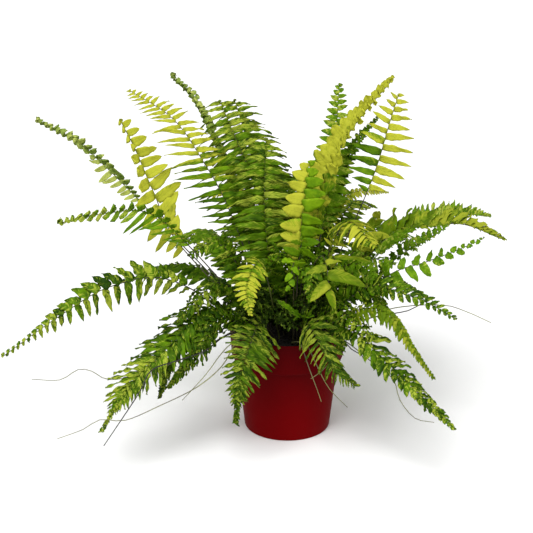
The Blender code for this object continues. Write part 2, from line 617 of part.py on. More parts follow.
def build_plant():
    """Every runner and frond, each clear of the others and of the pot."""
    places = crown_places()
    obstacles = Obstacles()
    pot_obstacle(obstacles)
    for name, place in zip(RUNNERS, places[len(FRONDS):]):
        route = stem_route(RUNNERS[name], place, RUNNER_STEP)
        build_runner(name, [stem_foot(place)] + route)
        for start, end in zip(route, route[1:]):
            obstacles.add(name, *box_along(start, end, RUNNER_RADIUS + CLEARANCE))
    for frond, place in zip(FRONDS, places):
        shares = [i / RIB_CHECKS for i in range(RIB_CHECKS + 1)]
        points = [station[0] for station in rib_stations(frond, place, shares)[0]]
        for share, start, end in zip(shares, points, points[1:]):
            half = stem_width(share) / 2 + CLEARANCE
            obstacles.add(frond.name, *box_along(start, end, half))
    kept = wanted = 0
    for frond, place in zip(FRONDS, places):
        made, asked = build_frond(frond, place, obstacles)
        kept += made
        wanted += asked
    print("leaflets", kept, "of", wanted)
    return places


def main():
    clear_scene()
    build_pot()
    build_soil([tuple(place) for place in build_plant()])


main()
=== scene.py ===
# %% [markdown]
# # A potted Boston fern
# The plant is a crown of arching fronds over a plastic nursery pot. The frame holds plain solids of
# every frond, runner, the soil and the pot, in metres. This lesson dresses them: each frond is grown
# again with all its leaflets, curled tips and streaks, on the same rib as its solid, so that nothing
# moves. A photo scan or a bought plant could give leaves faster, but then nothing could be measured
# or changed, so everything here is grown from a few numbers.

# %% Open the frame
import math
import random
from collections import namedtuple

import bmesh
import bpy
from mathutils import Matrix, Vector


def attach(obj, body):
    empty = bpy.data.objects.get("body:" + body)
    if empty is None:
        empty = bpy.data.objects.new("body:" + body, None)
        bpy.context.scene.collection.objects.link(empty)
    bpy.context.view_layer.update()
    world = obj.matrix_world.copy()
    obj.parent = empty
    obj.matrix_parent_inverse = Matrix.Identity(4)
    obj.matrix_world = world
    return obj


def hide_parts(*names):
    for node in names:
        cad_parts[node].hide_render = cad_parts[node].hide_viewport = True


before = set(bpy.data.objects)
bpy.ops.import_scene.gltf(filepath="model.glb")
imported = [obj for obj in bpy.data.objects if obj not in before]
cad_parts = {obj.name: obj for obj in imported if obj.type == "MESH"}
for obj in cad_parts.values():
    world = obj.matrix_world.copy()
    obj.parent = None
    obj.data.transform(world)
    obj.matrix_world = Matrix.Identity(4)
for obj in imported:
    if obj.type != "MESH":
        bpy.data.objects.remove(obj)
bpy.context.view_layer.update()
MM = 0.001

# %% [markdown]
# ## The measures that the solids were made with
# A leaf can only sit on its solid's rib if both come from the same numbers, so the pot, the soil and
# the ribs are written down again here. A rib could also be traced back from the solid's corners, but
# that would give corners and not a curve.

# %% The pot and the soil
POT_HEIGHT = 122 * MM
POT_BASE_RADIUS = 48.5 * MM
POT_WALL_TOP_RADIUS = 58.5 * MM
POT_BAND_BOTTOM = 86 * MM
POT_BAND_RADIUS = 62.5 * MM
POT_LIP_RADIUS = 65.5 * MM
POT_WALL = 1.6 * MM
POT_FLOOR = 2.0 * MM
POT_BAND_SLANT = 1.0 * MM
GAP = 0.3 * MM
SOIL_EDGE_HEIGHT = 108 * MM
SOIL_MOUND = 4 * MM
STEM_DEPTH = 12 * MM
STEM_RISE = 2 * MM
CROWN_INNER = 6 * MM
CROWN_OUTER = 34 * MM
STEM_SPACING = 6.5 * MM


def soil_edge_radius():
    """The soil's radius where its top meets the pot."""
    low = (POT_BAND_RADIUS - POT_WALL, POT_BAND_BOTTOM + POT_WALL + POT_BAND_SLANT)
    high = (POT_LIP_RADIUS - POT_WALL, POT_HEIGHT)
    share = (SOIL_EDGE_HEIGHT - low[1]) / (high[1] - low[1])
    return low[0] + share * (high[0] - low[0]) - GAP


def soil_height(x, y):
    """The height of the gently mounded soil at a place."""
    share = math.hypot(x, y) / soil_edge_radius()
    return SOIL_EDGE_HEIGHT + SOIL_MOUND * (1 - share * share)


print("soil edge radius:", round(soil_edge_radius(), 4))

# %% [markdown]
# ## How leaflets grow
# Fronds on one plant differ: old ones have long pointed waved leaflets, young ones broad blunt ones,
# and some never open and stay rolled like beads. A habit is such a way of growing. It could be
# written out for each frond, but then a change to one kind would be made many times.

# %% The habits
# The distance between leaflets on one side in mm, how blunt they are, how far they droop and ruffle,
# the angle at which their halves fold up, how far they turn over like shingles, how early the frond
# starts to narrow, the radius in mm of the curl at its tip, and the share of the frond at which a
# tail of tiny leaflets starts.
Habit = namedtuple("Habit", "spacing blunt droop ruffle fold shingle taper curl tail", defaults=(1,))

HABITS = {
    "plumed": Habit(10.4, -0.3, 0.42, 0.28, 8, 8, 4.2, 1.8),
    "combed": Habit(10.4, 0.14, 0.22, 0.2, 8, 10, 2.1, 1.6),
    "tall": Habit(13.2, 0.2, 0.2, 0.14, 8, 14, 1.9, 1.4),
    "tongued": Habit(14.0, 0.36, 0.08, 0.06, 4, 12, 3.2, 1.6),
    "spaced": Habit(15.5, 0.4, 0.1, 0.07, 10, 8, 2.4, 2.6),
    "budding": Habit(10.4, 0.3, 0.16, 0.12, 8, 8, 2.0, 2.0),
    "neat": Habit(10.4, 0.6, 0.06, 0.09, 6, 12, 1.8, 1.4),
    "young": Habit(6.2, 0.5, 0.08, 0.06, 4, 8, 1.6, 0),
    "fingered": Habit(7.0, 0.3, 0.12, 0.06, 8, 16, 2.6, 0),
    "tumbled": Habit(10.8, 0.6, 0.12, 0.16, 10, 14, 1.7, 1.4),
    "knotted": Habit(8.4, 0.6, 0.0, 0.08, 14, 14, 5.0, 3.6),
    "marbled": Habit(14.4, 0.36, 0.06, 0.16, 10, 14, 1.5, 0, 0.9),
    "beaded": Habit(7.4, 0.75, 0.0, 0.06, 20, 14, 5.0, 4.2),
    "crumpled": Habit(12.5, 0.65, 0.05, 0.1, 14, 14, 1.8, 3.2),
    "leafy": Habit(19.0, 0.5, 0.05, 0.08, 8, 6, 1.2, 1.4),
    "star": Habit(17.0, 0.42, 0.1, 0.06, 10, 0, 6.0, 0),
    "standing": Habit(7.2, 0.3, -0.04, 0.2, 6, 12, 2.0, 1.8),
    "streaked": Habit(6.8, 0.4, 0.12, 0.24, 5, 16, 1.25, 1.4),
    "curly": Habit(9.8, 0.42, 0.1, 0.3, 8, 14, 1.6, 1.6),
    "arching": Habit(9.4, 0.42, 0.06, 0.14, 8, 14, 2.0, 1.8),
    "stringy": Habit(7.6, 0.3, 0.1, 0.18, 8, 14, 0.7, 0.9),
    "draped": Habit(7.4, 0.24, 0.08, 0.24, 6, 14, 1.5, 1.2, 0.86),
    "tasselled": Habit(10.0, 0.4, 0.0, 0.1, 14, 14, 4.0, 3.6),
    "tapering": Habit(6.8, 0.36, 0.1, 0.22, 6, 14, 0.95, 1.2),
    "sweeping": Habit(8.2, 0.16, 0.14, 0.24, 8, 14, 4.0, 0.9, 0.88),
}
print("habits:", len(HABITS))

# %% [markdown]
# ## The fronds
# Each frond has a name, the points in mm that its rib passes after it leaves the soil, the way that
# its blade's upper face looks, its colour and habit, how much of its stalk is bare, and then its left
# and right side, as its face is seen with its tip up. A side gives the length and width of its
# longest leaflet in mm, the angles at which leaflets lean away from the rib, at the frond's foot and
# at its tip, the angle at which they lift from the blade, how far they roll up along their length at
# foot and tip, and how yellow they are there. A frond with one side given has both alike. A rule with
# random numbers could scatter fronds, but this plant has its own, so each one is written down.

# %% The table of fronds
Frond = namedtuple("Frond", "name route faces colour habit bare left right", defaults=(None,))
Side = namedtuple("Side", "length wide lean_low lean_top lift roll_low roll_top gold_low gold_top")


def listed(rows):
    """Fronds from rows of six values and of the values of one or both sides."""
    return [Frond(*row[:6], *[Side(*side) for side in row[6:]]) for row in rows]


FRONDS = listed((
    ("centre_two_tone", ((12, -15, 208), (16, -5, 262), (22, 5, 306)), (0, -1, 0.3), "bright", "tongued",
     0.46, (27, 16, 86, 80, 5, -8, -8, 0.7, 1.1), (28, 15.5, 86, 76, 5, -12, -12, 0.05, 0.15)),
    ("back_upright", ((-22, 15, 204), (-26, 35, 262), (-24, 50, 320)), (0.1, -1, 0.3), "green", "plumed",
     0.2, (49, 10, 72, 86, 0, -15, -15, 0.15, 0.3), (51, 10, 72, 86, 0, -15, -15, 0.2, 0.35)),
    ("back_left_dark", ((-26, 40, 220), (-44, 65, 284), (-58, 80, 314), (-76, 95, 354)), (0, -1, 0.4),
     "green", "plumed", 0.3, (57, 10, 72, 86, 0, -15, -15, 0.2, 0.35),
     (53, 10, 78, 90, 0, -15, -15, 0.3, 0.35)),
    ("back_mid_dark", ((-18, 60, 218), (-36, 85, 276), (-48, 108, 312), (-60, 125, 348)), (0.1, -1, 0.4),
     "green", "plumed", 0.3, (50, 10, 70, 86, 0, -15, -15, 0.2, 0.35),
     (51, 10, 80, 92, 0, -15, -15, 0.25, 0.35)),
    ("left_yellow", ((-64, 40, 240), (-96, 55, 298), (-128, 70, 340), (-176, 85, 368)), (0.3, -1, 0.6),
     "lime", "combed", 0.32, (46, 6.8, 72, 50, -8, -10, -10, -0.2, 1.3),
     (36, 8, 102, 116, 10, -20, -20, 0, 1.2)),
    ("left_lime", ((-120, 12, 212), (-148, 30, 266), (-168, 42, 312), (-184, 50, 342)), (0.3, -1, 0.5),
     "lime", "spaced", 0.44, (34, 13, 120, 76, 5, -15, 150, 0.7, 1.1),
     (38, 14, 56, 96, 8, -15, -10, 0.7, 1.1)),
    ("left_curled", ((-66, 95, 256), (-92, 125, 316), (-112, 145, 348), (-134, 160, 366)),
     (0.6, -0.6, 1), "pale", "beaded", 0.3, (16, 12, 50, 46, 20, 150, 190, 0.3, 0.3)),
    ("left_high_narrow", ((-128, 25, 218), (-196, 48, 284), (-236, 60, 316), (-278, 70, 336)),
     (0.2, -0.4, 1), "pale", "knotted", 0.54, (20, 6, 84, 46, -15, -10, 180, 1, 0.3),
     (15, 11, 56, 44, 20, 170, 190, 0.1, 0.35)),
    ("left_level", ((-112, -5, 220), (-152, -5, 254), (-198, -8, 254), (-246, -10, 244)), (0, -0.5, 1),
     "fresh", "tasselled", 0.44, (34, 5.4, 62, 46, -25, -15, 170, 0, 0.5),
     (15, 11, 52, 44, 25, 150, 190, 0, 0.5)),
    ("left_low", ((-126, -18, 180), (-192, -30, 178), (-248, -42, 148), (-310, -55, 106)), (0, -1, 0.5),
     "green", "marbled", 0.3, (34, 9.5, 86, 84, -38, 0, 0, 0.4, 0.35),
     (30, 13.5, 60, 58, 0, 10, 10, 0.35, 0.35)),
    ("right_tall", ((72, 8, 238), (96, 25, 294), (110, 38, 340), (120, 45, 372)), (-0.2, -1, 0.2),
     "lime", "tall", 0.6, (44, 9.5, 92, 74, 8, -45, -20, 0.05, 0.8),
     (42, 10.5, 90, 78, -4, -20, -8, 0.8, 1.2)),
    ("right_upright", ((40, 45, 224), (52, 70, 292), (58, 90, 374)), (0, -1, 0.3), "fresh", "budding",
     0.4, (27, 10.5, 84, 78, 8, -20, -10, 0.1, 0.35)),
    ("right_yellow_broad", ((36, 25, 262), (54, 40, 308), (80, 55, 345), (116, 70, 384)),
     (-0.6, -0.8, 0.6), "lime", "crumpled", 0.32, (28, 17, 78, 64, 15, 15, 20, 0.6, 0.95),
     (26, 16, 72, 50, 18, 10, 110, 0.5, 0.85)),
    ("right_dark_small", ((52, 75, 250), (74, 95, 296), (104, 115, 330)), (-0.5, -0.8, 0.6), "green",
     "curly", 0.3, (21, 11, 70, 70, 10, 20, 40, 0.05, 0.1)),
    ("right_small_level", ((46, 62, 226), (74, 75, 252), (116, 90, 248)), (0, -0.5, 1), "lime", "young",
     0.45, (13, 6, 78, 78, 0, 0, 0, 0.5, 0.7), (15, 6, 78, 78, -20, 0, 0, 0.4, 0.7)),
    ("right_arch", ((106, -5, 224), (154, -10, 240), (190, -16, 244), (230, -25, 230)), (0, 0.5, 1),
     "olive", "arching", 0.3, (38, 14, 66, 56, 60, -15, 0, 0.25, 0.6),
     (22, 10, 70, 58, -5, -20, -10, 0, 0.45)),
    ("right_arch_narrow", ((120, 22, 190), (162, 45, 208), (188, 60, 222), (208, 75, 232)), (0, -0.2, 1),
     "fresh", "curly", 0.3, (17, 9, 70, 70, 20, 20, 60, 0.05, 0.2), (9, 6, 70, 70, 0, 20, 60, 0.05, 0.2)),
    ("right_arch_back", ((122, 48, 206), (176, 80, 222), (210, 95, 220), (238, 110, 212)), (0, -0.3, 1),
     "fresh", "standing", 0.4, (24, 9, 64, 60, 30, 0, 60, 0.2, 0.5), (16, 9, 64, 60, 10, 0, 60, 0.1, 0.4)),
    ("right_sparse", ((104, -35, 190), (146, -42, 210), (180, -47, 226), (206, -50, 240)),
     (0, -0.8, 0.8), "fresh", "leafy", 0.3, (24, 11, 78, 55, 0, 0, 40, -0.2, 0.1),
     (31, 12, 96, 60, 0, 0, 40, -0.2, 0.1)),
    ("right_low_green", ((82, -55, 186), (116, -75, 188), (146, -85, 180), (174, -95, 166)),
     (-0.2, -0.8, 1), "green", "neat", 0.2, (26, 7.4, 62, 62, 10, -10, -10, 0.1, 0.15),
     (18, 7.6, 66, 66, 0, -20, 20, 0.1, 0.15)),
    ("right_droop", ((76, -72, 168), (106, -95, 170), (126, -110, 144), (150, -125, 112)),
     (0.2, -0.6, 0.8), "olive", "stringy", 0.25, (18, 9, 56, 50, 10, -20, -10, 0.25, 0.35),
     (29, 9, 74, 66, -15, -15, -10, 0.3, 0.35)),
    ("right_low_floor", ((64, -75, 146), (96, -105, 128), (130, -130, 102), (170, -150, 66)),
     (0.2, -0.7, 1), "green", "tumbled", 0.2, (28, 9.5, 62, 58, 0, -15, -10, 0.15, 0.25),
     (25, 9.5, 62, 56, 10, -15, 0, 0.15, 0.25)),
    ("front_right_over", ((20, -62, 148), (34, -80, 130), (48, -96, 108), (70, -112, 98)),
     (-0.3, -0.8, 0.8), "dusk", "tapering", 0.22, (42, 8.6, 58, 52, 10, -10, -10, 0.2, 0.25),
     (35, 5, 84, 72, 0, -40, -10, 0.4, 0.3)),
    ("front_left_over", ((-30, -62, 148), (-42, -84, 128), (-52, -102, 98), (-56, -114, 56)),
     (0, -1, 0.6), "dusk", "draped", 0.22, (40, 9, 88, 62, -5, -15, 30, 0.2, 0.25),
     (38, 9, 92, 62, -5, -15, 30, 0.2, 0.25)),
    ("left_low_floor", ((-82, -48, 160), (-124, -80, 132), (-166, -108, 98), (-196, -130, 54)),
     (0, -0.5, 1), "green", "sweeping", 0.2, (32, 9, 62, 55, -5, -15, 10, 0, 0.35),
     (42, 9, 62, 50, -5, -10, 10, 0.05, 0.35)),
    ("front_small_bright", ((-28, -50, 212), (-44, -88, 200), (-40, -108, 176)), (0, -0.8, 1), "lime",
     "young", 0.6, (21, 6.8, 80, 80, 0, -10, 0, 0.35, 0.65)),
    ("front_star", ((22, -34, 190), (34, -66, 226), (39, -92, 220), (41, -101, 197)), (0, -1, 0.4),
     "olive", "star", 0.82, (39, 14, 112, 32, 5, -10, -10, 0.35, 0.4),
     (27, 12, 100, 58, 5, -10, -10, 0.35, 0.6)),
    ("front_small_yellow", ((46, -15, 216), (64, -38, 254), (88, -75, 240)), (0.3, -0.4, 1), "lime",
     "fingered", 0.55, (30, 6.2, 78, 70, 0, -20, -20, 0.5, 0.6),
     (36, 6.6, 84, 74, -5, -30, -30, 0.6, 0.6)),
    ("left_dark_low", ((-66, -32, 180), (-90, -52, 180), (-118, -70, 152)), (0, -0.4, 1), "dusk",
     "curly", 0.15, (30, 9, 62, 62, -20, -30, 0, 0, 0.2), (30, 9, 62, 62, -20, -30, 0, 0.05, 0.2)),
    ("left_hang_front", ((-72, -58, 152), (-96, -80, 124), (-128, -95, 88)), (0.5, -1, 0.6), "dusk",
     "streaked", 0.2, (26, 8, 60, 55, -10, 0, 0, 0.05, 0.2)),
    ("left_hang_side", ((-68, -30, 152), (-108, -46, 136), (-130, -58, 100), (-140, -64, 62)),
     (0, -0.6, 1), "dusk", "streaked", 0.25, (26, 8, 60, 50, -20, 0, 0, 0.05, 0.2)),
    ("left_middle", ((-58, 18, 189), (-82, 22, 210), (-109, 15, 197)), (0, -0.5, 1), "green", "arching",
     0.15, (28, 8.6, 74, 74, -10, -20, 0, 0, 0.2)),
    ("front_middle", ((8, -28, 142), (13, -58, 154), (-10, -74, 177)), (0, -0.6, 1), "fresh", "leafy",
     0.35, (30, 12, 40, 10, 0, 0, 0, 0, 0.1)),
    ("right_middle", ((63, -2, 188), (90, -8, 202), (116, -16, 198)), (0, -0.5, 1), "fresh", "arching",
     0.15, (28, 7.6, 74, 74, -10, -20, 0, 0.05, 0.2)),
    ("front_right_middle", ((45, -45, 159), (65, -76, 160), (89, -98, 143)), (0, -0.5, 1), "green",
     "curly", 0.15, (24, 8, 70, 70, -10, -20, 0, 0.1, 0.3)),
    ("back_low_1", ((70, 55, 180), (118, 110, 202), (160, 172, 148)), (0, 0, 1), "fresh", "arching", 0.2,
     (32, 7.6, 76, 76, -15, -20, 0, 0.1, 0.3)),
    ("back_low_2", ((45, 75, 175), (80, 140, 200), (110, 225, 120)), (0, 0, 1), "green", "marbled", 0.2,
     (34, 8.6, 76, 76, -15, -20, 0, 0.2, 0.4)),
    ("back_low_3", ((10, 80, 180), (18, 150, 205), (15, 255, 110)), (0, 0, 1), "lime", "streaked", 0.2,
     (38, 9.6, 74, 74, -15, -20, 0, 0.3, 0.8)),
    ("back_low_4", ((-28, 80, 170), (-52, 140, 195), (-80, 235, 105)), (0, 0, 1), "green", "arching",
     0.2, (36, 8.6, 76, 76, -15, -20, 0, 0.1, 0.3)),
    ("back_low_5", ((-62, 62, 175), (-100, 115, 194), (-134, 185, 148)), (0, 0, 1), "fresh", "streaked",
     0.2, (34, 8.6, 76, 76, -15, -20, 0, 0.15, 0.3)),
    ("back_high_1", ((12, 55, 220), (16, 110, 255), (20, 195, 235)), (0, 0, 1), "green", "arching", 0.2,
     (36, 8.6, 76, 76, -10, -20, 0, 0.1, 0.3)),
    ("back_high_2", ((-24, 80, 198), (-50, 140, 234), (-90, 210, 208)), (0, 0, 1), "lime", "combed",
     0.25, (34, 8.6, 76, 76, -10, -20, 0, 0.2, 1)),
    ("back_high_3", ((55, 72, 205), (80, 122, 226), (110, 196, 196)), (0, 0, 1), "green", "arching", 0.3,
     (24, 7, 76, 76, -10, -20, 0, 0.2, 0.4)),
    ("left_back_low", ((-72, 30, 160), (-125, 52, 174), (-190, 82, 142)), (0, 0, 1), "green", "arching",
     0.2, (32, 8.6, 76, 76, -15, -20, 0, 0, 0.2)),
    ("right_back_low", ((70, 20, 156), (116, 32, 166), (165, 52, 132)), (0, 0, 1), "green", "neat", 0.2,
     (32, 8.6, 76, 76, -15, -20, 0, 0, 0.2)),
))
print("fronds:", len(FRONDS))

# %% [markdown]
# ## The runners
# A Boston fern spreads by thin bare stems that creep over the lip of its pot. They wander without a
# rule, so they are listed the same way, with the points that they pass, in mm.

# %% The table of runners
RUNNERS = {
    "left_long": ((-54, -33, 128), (-74, -45, 123), (-106, -62, 110), (-154, -74, 95), (-192, -78, 89),
                  (-211, -76, 98), (-226, -74, 99), (-247, -70, 85), (-278, -66, 84)),
    "left_dark": ((-50, -42, 129), (-69, -58, 131), (-90, -80, 123), (-118, -98, 120), (-144, -112, 115),
                  (-156, -130, 97), (-191, -158, 51)),
    "left_floor": ((-42, -50, 129), (-56, -62, 126), (-71, -80, 106), (-98, -98, 89), (-136, -113, 75),
                   (-171, -127, 65), (-197, -134, 69), (-214, -138, 60), (-241, -142, 51)),
    "left_short": ((-46, -46, 125), (-62, -58, 122), (-74, -72, 114), (-88, -86, 99), (-113, -100, 75)),
    "right_light": ((46, -33, 132), (65, -46, 143), (113, -68, 168), (160, -85, 178), (185, -88, 172),
                    (212, -90, 160)),
    "right_dark": ((48, -28, 128), (62, -38, 135), (88, -50, 149), (110, -60, 158), (127, -66, 164),
                   (143, -68, 174)),
    "right_loop": ((47, -46, 128), (60, -60, 127), (74, -75, 122), (95, -88, 108), (111, -98, 98),
                   (118, -104, 77), (134, -108, 58), (154, -112, 55)),
    "right_twig": ((50, -40, 127), (58, -49, 125), (68, -60, 117), (79, -65, 112), (83, -67, 105)),
    "front_short": ((12, -64, 127), (15, -69, 122), (22, -70, 100), (31, -71, 75), (36, -72, 60)),
    "front_long": ((18, -62, 128), (21, -68, 124), (29, -70, 106), (40, -72, 83), (49, -75, 71),
                   (64, -80, 57)),
    "front_cross": ((38, -54, 128), (50, -63, 124), (45, -70, 108), (36, -77, 99), (24, -80, 91)),
}
print("runners:", len(RUNNERS))

# %% [markdown]
# ## From a few points to a smooth stem
# A stem bends smoothly, so its points are joined by a curve that passes through each of them, and
# that is bent by the nearest point before and after each stretch. A curve with handles would do too,
# but needs two of them at every point. Each stem starts at its own place in the crown: places start
# under their stems and then push each other apart.

# %% The curves
ROUTE_STEP = 7 * MM
PUSHES = 80
CURL_TURNS = 1.25
CURL_STEPS = 9
CURL_TIGHTENING = 0.7


def crown_places():
    """Where each stem leaves the soil, fronds first, with no two closer than STEM_SPACING."""
    aims = [Vector(frond.route[0]) for frond in FRONDS]
    aims += [Vector(route[0]) for route in RUNNERS.values()]
    places = []
    for aim in aims:
        flat = Vector((aim.x, aim.y))
        above = max(aim.z - SOIL_EDGE_HEIGHT / MM, 1)
        slope = flat.length / math.hypot(flat.length, above)
        radius = CROWN_INNER + (CROWN_OUTER - CROWN_INNER) * slope
        places.append(flat.normalized() * radius)
    for _ in range(PUSHES):
        for i, first in enumerate(places):
            for second in places[:i]:
                apart = first - second
                short = STEM_SPACING - apart.length
                if short > 0:
                    push = apart.normalized() * short / 2
                    first += push
                    second -= push
    return places


def smooth_route(points, step):
    """Points about step apart on a smooth curve through the given ones."""
    ends = [2 * points[0] - points[1], *points, 2 * points[-1] - points[-2]]
    route = []
    for a, b, c, d in zip(ends, ends[1:], ends[2:], ends[3:]):
        count = max(1, round((c - b).length / step))
        for i in range(count):
            t = i / count
            route.append(0.5 * (2 * b + (c - a) * t + (2 * a - 5 * b + 4 * c - d) * t * t
                                + (3 * b - a - 3 * c + d) * t ** 3))
    route.append(points[-1])
    return route


def stem_route(points, place, step):
    """A stem's smooth way from just above the soil at its place through its points, in metres."""
    knee = Vector((place.x, place.y, soil_height(*place) + STEM_RISE))
    return smooth_route([knee] + [Vector(point) * MM for point in points], step)


def stem_foot(place):
    """The lower end of the stem that stands at a place, in the soil."""
    return Vector((place.x, place.y, SOIL_EDGE_HEIGHT - STEM_DEPTH + 2 * GAP))


class Rib:
    """A frond's rib, with the curl at its tip."""

    def __init__(self, frond, place, curl):
        faces = Vector(frond.faces)
        self.points = stem_route(frond.route, place, ROUTE_STEP)
        ways = [(after - before).normalized() for before, after in zip(self.points, self.points[1:])]
        self.ways = [(a + b).normalized() for a, b in zip([ways[0]] + ways, ways + [ways[-1]])]
        self.ups = [(faces - faces.dot(way) * way).normalized() for way in self.ways]
        self.straight = len(self.points) - 1
        if curl:
            self.roll_tip(curl)
        self.run = [0.0]
        for before, after in zip(self.points, self.points[1:]):
            self.run.append(self.run[-1] + (after - before).length)
        self.length = self.run[-1]
        self.curl_start = self.run[self.straight] / self.length

    def roll_tip(self, radius):
        """Adds the curl in which the tip rolls up towards the blade's face."""
        way, up = self.ways[-1], self.ups[-1]
        middle = self.points[-1] + up * radius
        for i in range(1, CURL_STEPS + 1):
            share = i / CURL_STEPS
            angle = share * CURL_TURNS * math.tau
            now = radius * (1 - CURL_TIGHTENING * share)
            self.points.append(middle + way * (now * math.sin(angle)) - up * (now * math.cos(angle)))
            self.ways.append(way * math.cos(angle) + up * math.sin(angle))
            self.ups.append(up * math.cos(angle) - way * math.sin(angle))

    def at(self, share):
        """The point at a share of the rib, and the ways along the rib, aside and up there."""
        wanted = share * self.length
        i = max(k for k in range(len(self.points) - 1) if self.run[k] <= wanted)
        part = (wanted - self.run[i]) / (self.run[i + 1] - self.run[i])
        along = self.ways[i].lerp(self.ways[i + 1], part).normalized()
        up = self.ups[i].lerp(self.ups[i + 1], part).normalized()
        return self.points[i].lerp(self.points[i + 1], part), along, up.cross(along), up


PLACES = crown_places()
print("crown:", len(PLACES), "stems, widest at", round(max(place.length for place in PLACES), 4))

# %% [markdown]
# ## Writing materials as sums
# A material here is a small formula, such as where streaks are and how shiny a leaf is. Nodes can be
# wired by hand, but a long sum is easier to read as a line of Python, so a socket is wrapped in a
# class that knows plus, minus and times, and each sum adds its Math nodes.

# %% The wiring helpers
class Wire:
    """A node's output that can be used in sums with numbers and with other wires."""

    def __init__(self, finish, socket):
        self.finish = finish
        self.socket = socket

    def maths(self, operation, *values, clamp=False):
        """Adds a Math node that works on the values."""
        settings = {"operation": operation, "use_clamp": clamp}
        return self.finish.node("ShaderNodeMath", settings, dict(enumerate(values)))

    def __add__(self, other):
        return self.maths("ADD", self, other)

    def __radd__(self, other):
        return self.maths("ADD", other, self)

    def __sub__(self, other):
        return self.maths("SUBTRACT", self, other)

    def __rsub__(self, other):
        return self.maths("SUBTRACT", other, self)

    def __mul__(self, other):
        return self.maths("MULTIPLY", self, other)

    def __rmul__(self, other):
        return self.maths("MULTIPLY", other, self)

    def size(self):
        """The same value without its sign."""
        return self.maths("ABSOLUTE", self)

    def wave(self):
        """A wave between -1 and 1 as the value grows."""
        return self.maths("SINE", self)

    def held(self):
        """The same value, held between 0 and 1."""
        return self.maths("ADD", self, 0, clamp=True)


class Finish:
    """A material under construction, with its nodes."""

    def __init__(self, name):
        self.material = bpy.data.materials.new(name)
        self.material.use_nodes = True
        self.tree = self.material.node_tree
        self.shader = self.tree.nodes["Principled BSDF"]
        self.output = self.tree.nodes["Material Output"]

    def join(self, value, socket):
        """Gives a socket a wire or a plain value, such as a colour of three parts."""
        if isinstance(value, Wire):
            self.tree.links.new(value.socket, socket)
        elif socket.type == "RGBA":
            socket.default_value = (*value, 1)
        else:
            socket.default_value = value

    def node(self, kind, settings=None, inputs=None, output=0):
        """Adds a node of a kind, with its settings first and then its inputs, and gives an output."""
        made = self.tree.nodes.new(kind)
        for name, value in (settings or {}).items():
            setattr(made, name, value)
        for name, value in (inputs or {}).items():
            self.join(value, made.inputs[name])
        return Wire(self, made.outputs[output])

    def mix(self, first, second, share):
        """A colour between two colours."""
        return self.node("ShaderNodeMix", {"data_type": "RGBA"}, {0: share, 6: first, 7: second}, 2)

    def noise(self, place, scale, detail=2.0, roughness=0.5, distortion=0.0):
        """Soft random values between 0 and 1 at a place."""
        inputs = {"Vector": place, "Scale": scale, "Detail": detail, "Roughness": roughness,
                  "Distortion": distortion}
        return self.node("ShaderNodeTexNoise", {}, inputs, "Fac")

    def parts(self, vector):
        """The x, y and z of a vector."""
        split = self.node("ShaderNodeSeparateXYZ", {}, {0: vector})
        return [Wire(self, split.socket.node.outputs[i]) for i in range(3)]

    def vector(self, x, y, z):
        """A place from its three parts."""
        return self.node("ShaderNodeCombineXYZ", {}, {0: x, 1: y, 2: z})

    def uv(self, name):
        """One of the piece's own maps."""
        return self.node("ShaderNodeUVMap", {"uv_map": name})

    def place(self):
        """Object coordinates, in metres."""
        return self.node("ShaderNodeTexCoord", {}, {}, "Object")

    def bump(self, height, distance, strength=1.0):
        """A surface that is raised by a height from 0 to 1, times a distance."""
        inputs = {"Height": height, "Distance": distance, "Strength": strength}
        return self.node("ShaderNodeBump", {}, inputs)

    def surface(self, **inputs):
        """Sets the shader's sockets by name, with _ for a space."""
        for name, value in inputs.items():
            self.join(value, self.shader.inputs[name.replace("_", " ")])
        return self.material


print("wiring helpers ready")

# %% [markdown]
# ## Leaf
# This fern's leaflets are deep green and splashed with yellow streaks that follow the side veins, from
# none at all to a leaflet that is all yellow. The leaf is thin, so light shines through it: part of
# the shader is translucent. Streaks could be painted on an image, but a sum over the leaflet's own
# map gives every leaflet its own. The maps hold: how far along and across the leaflet a point is,
# the leaflet's random number and its share of yellow, and its length with its height on the frond.

# %% The leaf materials
VEINS = 34
VEIN_SLANT = 0.22
RELIEF = 0.4 * MM
STREAKS = 13
HALF_SWING = 0.8
GOLD_PULL = 3.0
GREEN_START = 0.9
MIDRIB_FINENESS = 16
MIDRIB_SHADE_SHARE = 0.35
MIDRIB_SHADE_LIGHT = 0.55
FOOT_FINENESS = 7
FOOT_SHADE_SHARE = 0.4
FOOT_SHADE_LIGHT = 0.6
THROUGH = 0.3
LEAF_GLINT = 0.08


def darker(colour, light):
    """A colour with a share of its light."""
    return [light * part for part in colour]


